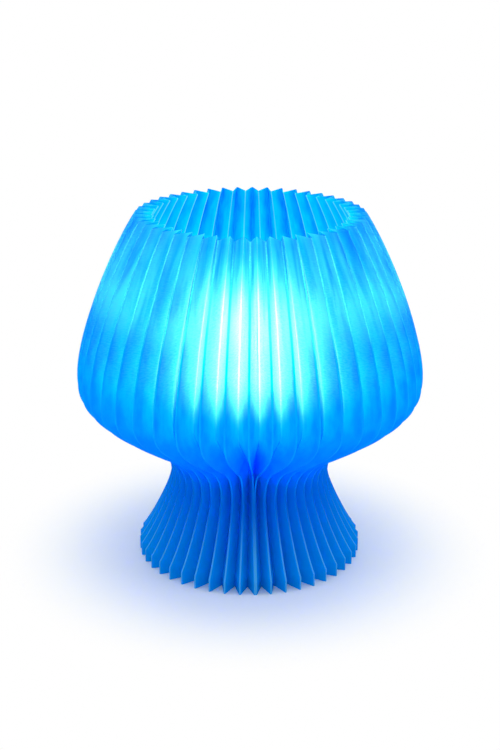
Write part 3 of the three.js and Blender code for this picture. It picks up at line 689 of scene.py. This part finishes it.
# Closure magnets: two pairs of nickel-plated discs, one on each side of the seam, glued into the last
# fold near the foot and near the neck. They pull the two edges of the sheet together.
magnet_radius = 0.0024
magnet_thickness = 0.0008
magnet_edge = 0.00015
magnet_sides = 40
nickel_colour = (0.62, 0.6, 0.57, 1)
side_smoothing = math.radians(35)
sharp_angle = math.radians(40)
gloss_pattern_span = (0.3, 0.7)
tone_pattern_span = (0.35, 0.65)


def turned_piece(name, profile, sides, hollow):
    """A round piece, drawn out of a circle from point to point of its profile of radius and height."""
    bpy.ops.object.select_all(action="DESELECT")
    radius, height = profile[0]
    fill = "NOTHING" if hollow else "NGON"
    bpy.ops.mesh.primitive_circle_add(vertices=sides, radius=radius, fill_type=fill, location=(0, 0, height))
    piece = bpy.context.object
    piece.name = name
    bpy.ops.object.transform_apply(location=True, rotation=False, scale=False)
    bpy.ops.object.mode_set(mode="EDIT")
    bpy.ops.mesh.select_all(action="SELECT")
    for next_radius, next_height in profile[1:] + (profile[:1] if hollow else []):
        bpy.ops.mesh.extrude_region()
        grow = next_radius / radius
        bpy.ops.transform.resize(value=(grow, grow, 1), center_override=(0, 0, height))
        bpy.ops.transform.translate(value=(0, 0, next_height - height))
        radius, height = next_radius, next_height
    bpy.ops.mesh.select_all(action="SELECT")
    bpy.ops.mesh.remove_doubles(threshold=1e-6)
    bpy.ops.mesh.normals_make_consistent(inside=False)
    bpy.ops.object.mode_set(mode="OBJECT")
    return piece


def smooth_sides(piece):
    bpy.ops.object.select_all(action="DESELECT")
    piece.select_set(True)
    bpy.context.view_layer.objects.active = piece
    bpy.ops.object.shade_smooth_by_angle(angle=side_smoothing)
    piece.select_set(False)


def soften_edges(piece, width, segments=3):
    """Rounds the sharp edges of a piece, as a mould or a file leaves them, and smooths the rest."""
    rounded = piece.modifiers.new("edges", "BEVEL")
    rounded.width = width
    rounded.segments = segments
    rounded.limit_method = "ANGLE"
    rounded.angle_limit = sharp_angle
    bpy.context.view_layer.objects.active = piece
    bpy.ops.object.modifier_apply(modifier=rounded.name)
    smooth_sides(piece)


def copied_piece(piece, name, placed):
    """A copy with its own mesh, moved to its place."""
    twin = piece.copy()
    twin.data = piece.data.copy()
    twin.name = name
    twin.data.transform(placed)
    scene.collection.objects.link(twin)
    return twin


def put_in_place(piece, body, node, finish):
    """Gives a new piece its finish and lets it stand for its solid."""
    piece.data.materials.clear()
    piece.data.materials.append(finish)
    piece.select_set(False)
    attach(piece, body)
    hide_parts(node)


def add_grain(shader, pattern, strength, depth):
    """Raises a pattern on the surface by a depth in metres."""
    tree = shader.id_data
    inputs = {"Height": pattern, "Strength": strength, "Distance": depth}
    tree.links.new(add_node(tree, "ShaderNodeBump", inputs).outputs["Normal"], shader.inputs["Normal"])


def vary_roughness(shader, pattern, low, high):
    shader.id_data.links.new(fade(pattern, gloss_pattern_span, low, high), shader.inputs["Roughness"])


def vary_colour(shader, pattern, low, high):
    colour = mix_colour(fade(pattern, tone_pattern_span, 0, 1), low, high)
    shader.id_data.links.new(colour, shader.inputs["Base Color"])


nickel, tree, shader = new_finish("nickel_plate", nickel_colour, roughness=0.2, metal=1)
vary_roughness(shader, add_noise(tree, scale=900, detail=5), low=0.14, high=0.32)
add_grain(shader, add_noise(tree, scale=2200), strength=0.15, depth=0.00002)
magnet_profile = [(magnet_radius, -magnet_thickness / 2), (magnet_radius, magnet_thickness / 2)]
magnet = turned_piece("magnet", magnet_profile, magnet_sides, hollow=False)
soften_edges(magnet, magnet_edge)
for side in ("right", "left"):
    for spot in ("lower", "upper"):
        node = "seam_magnet_%s_%s" % (side, spot)
        low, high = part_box(node)
        middle = Matrix.Translation((Vector(low) + Vector(high)) / 2)
        name = "closure_magnet_%s_%s" % (side, spot)
        disc = copied_piece(magnet, name, middle @ Matrix.Rotation(math.pi / 2, 4, "Y"))
        put_in_place(disc, side + "_front", node, nickel)
bpy.data.objects.remove(magnet)

# Base housing: a round shell in white ABS, moulded with a rounded top edge, four screw bosses inside, a
# hole for the stem and a port for the charging socket at the back.
housing_radius = 0.049
housing_wall = 0.0022
housing_bottom = 0.002
housing_top = 0.022
housing_edge = 0.005
housing_softness = 0.0003
stem_hole_radius = 0.0063
port_width = 0.010
port_depth = 0.006
port_height = 0.0042
port_middle = 0.0092
port_edge = 0.0012
boss_count = 4
boss_radius = 0.0034
boss_pilot = 0.0016
boss_circle = 0.0431
boss_bottom = 0.0045
boss_sides = 24
round_sides = 128
corner_steps = 8
white_colour = (0.8, 0.82, 0.84, 1)
white_shade_colour = (0.74, 0.765, 0.79, 1)
white_gloss = 0.42


def quarter_round(radius, height, edge, upwards):
    """Points of a rounded edge about a centre, from the side to the top or back."""
    angles = [math.pi / 2 * i / corner_steps for i in range(corner_steps + 1)]
    points = [(radius + edge * math.cos(a), height + edge * math.sin(a)) for a in angles]
    return points if upwards else points[::-1]


def on_circle(circle, angle):
    return Matrix.Translation((circle * math.cos(angle), circle * math.sin(angle), 0))


def moulded_plastic(name, colour, shade_colour, gloss):
    """White or tinted plastic with the fine grain of its mould and slightly uneven gloss."""
    finish, tree, shader = new_finish(name, colour, gloss)
    vary_colour(shader, add_noise(tree, scale=55, detail=4), shade_colour, colour)
    vary_roughness(shader, add_noise(tree, scale=180, detail=5), low=gloss - 0.06, high=gloss + 0.1)
    add_grain(shader, add_noise(tree, scale=3200, detail=2), strength=0.25, depth=0.00003)
    return finish


inside_radius = housing_radius - housing_wall
inside_top = housing_top - housing_wall
inner_edge = housing_edge - housing_wall
housing_profile = [(stem_hole_radius, inside_top), (stem_hole_radius, housing_top)]
top_edge_centre = (housing_radius - housing_edge, housing_top - housing_edge)
housing_profile += quarter_round(*top_edge_centre, housing_edge, upwards=False)
housing_profile += [(housing_radius, housing_bottom), (inside_radius, housing_bottom)]
inner_edge_centre = (inside_radius - inner_edge, inside_top - inner_edge)
housing_profile += quarter_round(*inner_edge_centre, inner_edge, upwards=True)
housing = turned_piece("housing_shell", housing_profile, round_sides, hollow=True)
boss_top = inside_top + overrun
boss_profile = [(boss_pilot, boss_bottom), (boss_radius, boss_bottom)]
boss_profile += [(boss_radius, boss_top), (boss_pilot, boss_top)]
boss = turned_piece("boss", boss_profile, boss_sides, hollow=True)
boss_angles = [math.pi / 4 + 2 * math.pi / boss_count * i for i in range(boss_count)]
for angle in boss_angles:
    combine(housing, copied_piece(boss, "boss_in_place", on_circle(boss_circle, angle)), "UNION")
bpy.data.objects.remove(boss)
port_place = (0, housing_radius - housing_wall / 2, port_middle)
port = block_piece("port", (port_width, port_depth, port_height), port_place, edge=port_edge)
combine(housing, port, "DIFFERENCE")
soften_edges(housing, housing_softness, segments=2)
white_abs = moulded_plastic("white_abs", white_colour, white_shade_colour, white_gloss)
put_in_place(housing, "light_unit", "base_housing", white_abs)

# Base cover: a flat round plate of the same white ABS that closes the housing from below. Four pads are
# glued into its shallow recesses and four screws sink into it.
cover_radius = 0.0465
cover_top = 0.0045
cover_softness = 0.0002
recess_sides = 48
pad_count = 4
pad_circle = 0.038
pad_radius = 0.005
pad_recess = 0.0008
screw_head_radius = 0.0028
screw_head_height = 0.0013
fit_gap = 0.0003
cover_profile = [(cover_radius, housing_bottom), (cover_radius, cover_top)]
cover = turned_piece("cover_plate", cover_profile, round_sides, hollow=False)
pad_angles = [2 * math.pi / pad_count * i for i in range(pad_count)]


def cut_recess(radius, depth, circle, angle):
    profile = [(radius + fit_gap, housing_bottom - overrun), (radius + fit_gap, housing_bottom + depth)]
    recess = turned_piece("recess", profile, recess_sides, hollow=False)
    recess.data.transform(on_circle(circle, angle))
    combine(cover, recess, "DIFFERENCE")


for pad_angle, screw_angle in zip(pad_angles, boss_angles):
    cut_recess(pad_radius, pad_recess, pad_circle, pad_angle)
    cut_recess(screw_head_radius, screw_head_height, boss_circle, screw_angle)
soften_edges(cover, cover_softness, segments=2)
put_in_place(cover, "light_unit", "base_cover", white_abs)

# Foot pads: four discs of dark grey silicone rubber, moulded with a rounded lower edge, that stand on the
# table and stop the lamp from sliding.
pad_top = 0.0028
pad_edge = 0.0006
pad_sides = 48
pad_corner_steps = 4
rubber_colour = (0.05, 0.055, 0.06, 1)
rubber_tones = ((0.04, 0.044, 0.05, 1), (0.07, 0.075, 0.08, 1))
rubber, tree, shader = new_finish("grey_rubber", rubber_colour, roughness=0.85)
vary_colour(shader, add_noise(tree, scale=700, detail=4), *rubber_tones)
add_grain(shader, add_noise(tree, scale=4000), strength=0.4, depth=0.00004)
corner_angles = [math.pi / 2 * i / pad_corner_steps for i in range(pad_corner_steps + 1)]
pad_inner_radius = pad_radius - pad_edge
pad_profile = []
for angle in corner_angles:
    pad_profile.append((pad_inner_radius + pad_edge * math.sin(angle), pad_edge - pad_edge * math.cos(angle)))
pad = turned_piece("pad", pad_profile + [(pad_radius, pad_top)], pad_sides, hollow=False)
smooth_sides(pad)
for number, angle in enumerate(pad_angles, start=1):
    rubber_pad = copied_piece(pad, "rubber_pad_%d" % number, on_circle(pad_circle, angle))
    put_in_place(rubber_pad, "light_unit", "foot_pad_%d" % number, rubber)
bpy.data.objects.remove(pad)

# Cover screws: four slotted pan-head screws of zinc-plated steel that hold the cover to the bosses of
# the housing.
screw_face_radius = 0.0022
screw_head_edge = 0.0005
screw_shank_radius = 0.0013
screw_end = 0.0120
screw_point_length = 0.001
screw_point_radius = 0.0005
screw_softness = 0.0001
screw_sides = 40
slot_length = 0.0076
slot_width = 0.0008
slot_depth = 0.0006
zinc_colour = (0.55, 0.56, 0.58, 1)
zinc_tones = ((0.5, 0.52, 0.55, 1), (0.6, 0.6, 0.6, 1))
zinc, tree, shader = new_finish("zinc_plate", zinc_colour, roughness=0.3, metal=1)
vary_roughness(shader, add_noise(tree, scale=1500, detail=5), low=0.22, high=0.45)
vary_colour(shader, add_noise(tree, scale=400), *zinc_tones)
add_grain(shader, add_noise(tree, scale=2600, stretch=(1, 1, 0.2)), strength=0.2, depth=0.00003)
head_top = housing_bottom + screw_head_height
screw_profile = [
    (screw_face_radius, housing_bottom),
    (screw_head_radius, housing_bottom + screw_head_edge),
    (screw_head_radius, head_top),
    (screw_shank_radius, head_top),
    (screw_shank_radius, screw_end - screw_point_length),
    (screw_point_radius, screw_end),
]
screw = turned_piece("screw", screw_profile, screw_sides, hollow=False)
slot = block_piece("slot", (slot_length, slot_width, 2 * slot_depth), (0, 0, housing_bottom))
combine(screw, slot, "DIFFERENCE")
soften_edges(screw, screw_softness, segments=2)
for number, angle in enumerate(boss_angles, start=1):
    steel_screw = copied_piece(screw, "steel_screw_%d" % number, on_circle(boss_circle, angle))
    put_in_place(steel_screw, "light_unit", "cover_screw_%d" % number, zinc)
bpy.data.objects.remove(screw)

# Ballast weight: a cast iron disc with one flat side, screwed down on the cover, that keeps the light
# shade standing when it is touched. Its skin keeps the texture of the sand mould.
iron_colour = (0.06, 0.06, 0.062, 1)
iron_tones = ((0.045, 0.045, 0.047, 1), (0.09, 0.082, 0.075, 1))


def finish_cad_piece(node, finish):
    """Gives a solid from the frame its finish on every face."""
    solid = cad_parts[node]
    solid.data.materials.clear()
    solid.data.materials.append(finish)


cast_iron, tree, shader = new_finish("cast_iron", iron_colour, roughness=0.75, metal=0.6)
vary_colour(shader, add_noise(tree, scale=260, detail=6), *iron_tones)
vary_roughness(shader, add_noise(tree, scale=500, detail=5), low=0.6, high=0.85)
add_grain(shader, add_noise(tree, scale=900, detail=6), strength=0.6, depth=0.0001)
finish_cad_piece("ballast_weight", cast_iron)

# Battery: a flat lithium cell in a crimped foil pouch, taped to the ballast weight. The foil is drawn
# tight, so it is creased all over.
foil_colour = (0.6, 0.62, 0.65, 1)
foil, tree, shader = new_finish("pouch_foil", foil_colour, roughness=0.35, metal=0.7)
foil_creases = add_noise(tree, scale=180, stretch=(1, 0.4, 1), detail=7, distortion=1.2)
vary_roughness(shader, foil_creases, low=0.25, high=0.5)
add_grain(shader, foil_creases, strength=0.5, depth=0.00025)
finish_cad_piece("battery_pack", foil)

# Boards: the main board on its four standoffs, and the small round board under the crown switch. Both are
# glass-fibre laminate under green solder mask, with copper tracks just showing through.
mask_colour = (0.01, 0.09, 0.035, 1)
mask_dark_colour = (0.01, 0.085, 0.035, 1)
track_colour = (0.02, 0.15, 0.06, 1)
track_scale = 420
track_edge_span = (0.05, 0.12)
solder_mask, tree, shader = new_finish("green_laminate", mask_colour, roughness=0.35)
place = tree.nodes.new("ShaderNodeTexCoord")
tracks = {"Vector": place.outputs["Object"], "Scale": track_scale}
tracks = add_node(tree, "ShaderNodeTexVoronoi", tracks, distance="MANHATTAN", feature="DISTANCE_TO_EDGE")
track_lines = fade(tracks.outputs["Distance"], track_edge_span, 1, 0)
tree.links.new(mix_colour(track_lines, mask_dark_colour, track_colour), shader.inputs["Base Color"])
add_grain(shader, track_lines, strength=0.3, depth=0.00005)
vary_roughness(shader, add_noise(tree, scale=800), low=0.28, high=0.42)
finish_cad_piece("main_board", solder_mask)
finish_cad_piece("switch_board", solder_mask)

# Charging socket: a drawn and folded shell of tin-plated steel with a thin tongue in it, soldered to the
# main board behind the port of the housing.
tin_colour = (0.66, 0.66, 0.65, 1)
tin, tree, shader = new_finish("tin_plate", tin_colour, roughness=0.28, metal=1)
draw_marks = add_noise(tree, scale=2400, stretch=(1, 0.08, 1), detail=4)
vary_roughness(shader, draw_marks, low=0.2, high=0.42)
add_grain(shader, draw_marks, strength=0.2, depth=0.00002)
finish_cad_piece("charge_socket", tin)

# Battery wires and lamp wires: stranded copper in red and black silicone, soldered at both ends. The lamp
# wires run up the bore of the stem.
jacket_colours = {
    "red": ((0.42, 0.012, 0.01, 1), (0.55, 0.03, 0.02, 1)),
    "black": ((0.012, 0.012, 0.013, 1), (0.03, 0.03, 0.032, 1)),
}
for colour_name, (deep_colour, pale_colour) in jacket_colours.items():
    jacket, tree, shader = new_finish("silicone_" + colour_name, deep_colour, roughness=0.5)
    vary_colour(shader, add_noise(tree, scale=900), deep_colour, pale_colour)
    vary_roughness(shader, add_noise(tree, scale=1400), low=0.42, high=0.62)
    add_grain(shader, add_noise(tree, scale=3000), strength=0.2, depth=0.00002)
    finish_cad_piece("battery_wire_" + colour_name, jacket)
    finish_cad_piece("lamp_wire_" + colour_name, jacket)

# Stem: a turned and clear-anodised aluminium tube with a threaded spigot below and a step for the neck
# ring above. A hexagon nut holds it to the housing from inside.
stem_bore = 0.004
spigot_radius = 0.006
spigot_bottom = 0.0164
stem_radius = 0.0115
stem_top_radius = 0.010
ring_bottom = 0.066
stem_top = 0.087
stem_softness = 0.0002
stem_sides = 96
aluminium_colour = (0.74, 0.75, 0.76, 1)
aluminium_tones = ((0.7, 0.71, 0.725, 1), (0.78, 0.785, 0.79, 1))
turning_marks_per_metre = 5200
turned_aluminium, tree, shader = new_finish("turned_aluminium", aluminium_colour, roughness=0.32, metal=1)
tool_marks = add_noise(tree, scale=1, stretch=(0, 0, turning_marks_per_metre), detail=4)
vary_roughness(shader, tool_marks, low=0.24, high=0.42)
vary_colour(shader, add_noise(tree, scale=90), *aluminium_tones)
add_grain(shader, tool_marks, strength=0.35, depth=0.00002)
stem_profile = [
    (stem_bore, spigot_bottom),
    (spigot_radius, spigot_bottom),
    (spigot_radius, housing_top),
    (stem_radius, housing_top),
    (stem_radius, ring_bottom),
    (stem_top_radius, ring_bottom),
    (stem_top_radius, stem_top),
    (stem_bore, stem_top),
]
stem = turned_piece("stem", stem_profile, stem_sides, hollow=True)
soften_edges(stem, stem_softness)
put_in_place(stem, "light_unit", "stem_tube", turned_aluminium)
finish_cad_piece("stem_nut", zinc)

# Neck ring: a spoked ring of white ABS that sits on the step of the stem. Its rim follows the inner folds
# of the neck, and keeps them round and in the middle.
ring_top = 0.069
ring_rim_width = 0.003
ring_set_back = 0.0007
ring_taper = 0.0012
ring_softness = 0.0002
hub_bore = 0.0103
hub_radius = 0.0133
hub_sides = 64
spoke_width = 0.0034
spoke_relief = 0.0002
spoke_count = 8
ring_low, ring_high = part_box("neck_ring")
rim_reach = (ring_high[0] - ring_low[0]) / 2 - ring_set_back
rim_lower = rim_reach - ring_taper
rim_inside = rim_lower - ring_rim_width
rim_profile = [(rim_inside, ring_bottom), (rim_lower, ring_bottom)]
rim_profile += [(rim_reach, ring_top), (rim_inside, ring_top)]
neck_ring = turned_piece("spoked_ring", rim_profile, round_sides, hollow=True)
spoke_start = (hub_bore + hub_radius) / 2
spoke_end = rim_inside + ring_rim_width / 2
spoke_size = (spoke_end - spoke_start, spoke_width, ring_top - ring_bottom - 2 * spoke_relief)
spoke_middle = ((spoke_start + spoke_end) / 2, 0, (ring_bottom + ring_top) / 2)
for i in range(spoke_count):
    spoke = block_piece("spoke", spoke_size, spoke_middle)
    spoke.data.transform(Matrix.Rotation(2 * math.pi * i / spoke_count, 4, "Z"))
    combine(neck_ring, spoke, "UNION")
hub_profile = [(hub_bore, ring_bottom), (hub_radius, ring_bottom)]
hub_profile += [(hub_radius, ring_top), (hub_bore, ring_top)]
combine(neck_ring, turned_piece("hub", hub_profile, hub_sides, hollow=True), "UNION")
soften_edges(neck_ring, ring_softness, segments=2)
put_in_place(neck_ring, "light_unit", "neck_ring", white_abs)

# Head cup: a flared cup of white ABS pressed on the top of the stem. The post's flange stands on its
# floor, and the globe's spigot drops into its mouth.
globe_neck_radius = 0.0209
globe_seat = 0.093
cup_bottom = 0.079
cup_collar_radius = 0.0135
cup_radius = 0.023
cup_top = 0.096
cup_floor = 0.090
cup_well_radius = 0.0188
cup_flare = [(0.0158, 0.0820), (0.0185, 0.0862), (0.0210, 0.0898)]
cup_softness = 0.0003
cup_bore = stem_top_radius + fit_gap
cup_mouth_radius = globe_neck_radius + fit_gap
cup_profile = [(cup_bore, cup_bottom), (cup_collar_radius, cup_bottom)] + cup_flare
cup_profile += [
    (cup_radius, globe_seat),
    (cup_radius, cup_top),
    (cup_mouth_radius, cup_top),
    (cup_mouth_radius, globe_seat),
    (cup_well_radius, globe_seat),
    (cup_well_radius, cup_floor),
    (stem_bore, cup_floor),
    (stem_bore, stem_top),
    (cup_bore, stem_top),
]
cup = turned_piece("lamp_cup", cup_profile, round_sides, hollow=True)
soften_edges(cup, cup_softness, segments=2)
put_in_place(cup, "light_unit", "head_cup", white_abs)

# Post: a six-sided aluminium bar, sawn, milled and bored for the wires, that carries the light strips and
# takes their heat.
finish_cad_piece("led_post", turned_aluminium)

# Light strips: six narrow boards with white solder mask and four square light chips each, glued to the
# flats of the post.
strip_count = 6
strip_colour = (0.86, 0.86, 0.82, 1)
strip_tones = ((0.82, 0.82, 0.77, 1), (0.88, 0.88, 0.85, 1))
lamp_light_colour = (0.8, 0.97, 1.0, 1)
strip_brightness = 3
strip_white, tree, shader = new_finish("strip_white", strip_colour, roughness=0.4)
vary_colour(shader, add_noise(tree, scale=500), *strip_tones)
add_grain(shader, add_noise(tree, scale=2600), strength=0.2, depth=0.00002)
shader.inputs["Emission Color"].default_value = lamp_light_colour
shader.inputs["Emission Strength"].default_value = strip_brightness
for number in range(1, strip_count + 1):
    finish_cad_piece("light_strip_%d" % number, strip_white)

# Globe: the light source that shows through the pleats, blown in opal white polycarbonate with a wall of
# 1.6 mm. Its spigot stands in the head cup, and the crown cap closes its mouth.
globe_wall = 0.0016
globe_neck_top = 0.096
globe_hip_radius = 0.0269
globe_hip_height = 0.1073
globe_radius = 0.030
globe_belly = 0.130
globe_shoulder_height = 0.1560
globe_crown_radius = 0.0228
globe_top = 0.172
globe_mouth_radius = 0.0126
globe_curve_points = 25
globe_brightness = 14
opal_colour = (0.9, 0.95, 0.97, 1)
opal_tones = ((0.86, 0.93, 0.96, 1), (0.93, 0.97, 0.98, 1))
lower_belly = [
    (globe_neck_radius, globe_neck_top),
    (globe_hip_radius, globe_neck_top),
    (globe_radius, globe_hip_height),
    (globe_radius, globe_belly),
]
upper_belly = [
    (globe_radius, globe_belly),
    (globe_radius, globe_shoulder_height),
    (globe_crown_radius, globe_top),
    (globe_mouth_radius, globe_top),
]
outside = []
for curve in (lower_belly, upper_belly):
    corners = [Vector(corner) for corner in curve]
    points = interpolate_bezier(*corners, globe_curve_points)
    outside += [tuple(point) for point in points[bool(outside):]]
inside = [(radius - globe_wall, height) for radius, height in outside[::-1]]
globe_profile = [(globe_neck_radius, globe_seat)] + outside + inside
globe_profile.append((globe_neck_radius - globe_wall, globe_seat))
globe = turned_piece("opal_globe", globe_profile, round_sides, hollow=True)
smooth_sides(globe)
opal, tree, shader = new_finish("opal_polycarbonate", opal_colour, roughness=0.3)
flow_marks = add_noise(tree, scale=45, stretch=(1, 1, 0.4), detail=2)
vary_colour(shader, flow_marks, *opal_tones)
vary_roughness(shader, add_noise(tree, scale=300), low=0.26, high=0.36)
shader.inputs["Emission Color"].default_value = lamp_light_colour
shader.inputs["Emission Strength"].default_value = globe_brightness
put_in_place(globe, "light_unit", "globe_diffuser", opal)

# Crown cap: a moulded ring of white ABS that snaps into the mouth of the globe, with a hole for the button.
# Its skirt stands in the mouth and its rounded brim lies on the globe.
button_radius = 0.0070
cap_skirt_radius = 0.0107
cap_skirt_wall = 0.0009
cap_skirt_bottom = 0.169
cap_radius = 0.0124
cap_side_top = 0.1731
cap_top = 0.1742
cap_top_radius = 0.0113
cap_bevel_radius = 0.0121
cap_bevel_height = 0.1738
cap_softness = 0.0002
cap_sides = 96
cap_hole_radius = button_radius + fit_gap
cap_profile = [
    (cap_hole_radius, globe_top),
    (cap_skirt_radius - cap_skirt_wall, globe_top),
    (cap_skirt_radius - cap_skirt_wall, cap_skirt_bottom),
    (cap_skirt_radius, cap_skirt_bottom),
    (cap_skirt_radius, globe_top),
    (cap_radius, globe_top),
    (cap_radius, cap_side_top),
    (cap_bevel_radius, cap_bevel_height),
    (cap_top_radius, cap_top),
    (cap_hole_radius, cap_top),
]
cap = turned_piece("crown_ring", cap_profile, cap_sides, hollow=True)
soften_edges(cap, cap_softness, segments=2)
put_in_place(cap, "light_unit", "crown_cap", white_abs)

# Push button: moulded in pale grey ABS with a dished top. Its flange stays under the cap, and the
# latching switch below pushes it back up.
button_flange_radius = 0.0084
button_bottom = 0.1705
button_flange_top = 0.1717
button_side_top = 0.1761
button_edge = [(0.0068, 0.1766), (0.0063, 0.1768)]
button_dish = [(0.0056, 0.1767), (0.0049, 0.1763), (0.0035, 0.17602), (0.0018, 0.1759)]
button_softness = 0.00015
button_sides = 96
grey_colour = (0.6, 0.63, 0.66, 1)
grey_shade_colour = (0.55, 0.58, 0.61, 1)
grey_gloss = 0.35
button_profile = [
    (button_flange_radius, button_bottom),
    (button_flange_radius, button_flange_top),
    (button_radius, button_flange_top),
    (button_radius, button_side_top),
]
button_profile += button_edge + button_dish
button = turned_piece("dished_button", button_profile, button_sides, hollow=False)
soften_edges(button, button_softness, segments=2)
grey_abs = moulded_plastic("grey_abs", grey_colour, grey_shade_colour, grey_gloss)
put_in_place(button, "button", "power_button", grey_abs)

# Latching switch: a small block of black glass-filled plastic on its round board, with a white plunger
# that the button stands on.
black_colour = (0.02, 0.02, 0.022, 1)
black_pale_colour = (0.03, 0.03, 0.033, 1)
nylon_colour = (0.78, 0.77, 0.73, 1)
nylon_shade_colour = (0.72, 0.71, 0.67, 1)
black_plastic = moulded_plastic("black_glass_filled", black_colour, black_pale_colour, gloss=0.5)
white_nylon = moulded_plastic("white_nylon", nylon_colour, nylon_shade_colour, gloss=0.45)
finish_cad_piece("latching_switch", black_plastic)
finish_cad_piece("switch_plunger", white_nylon)
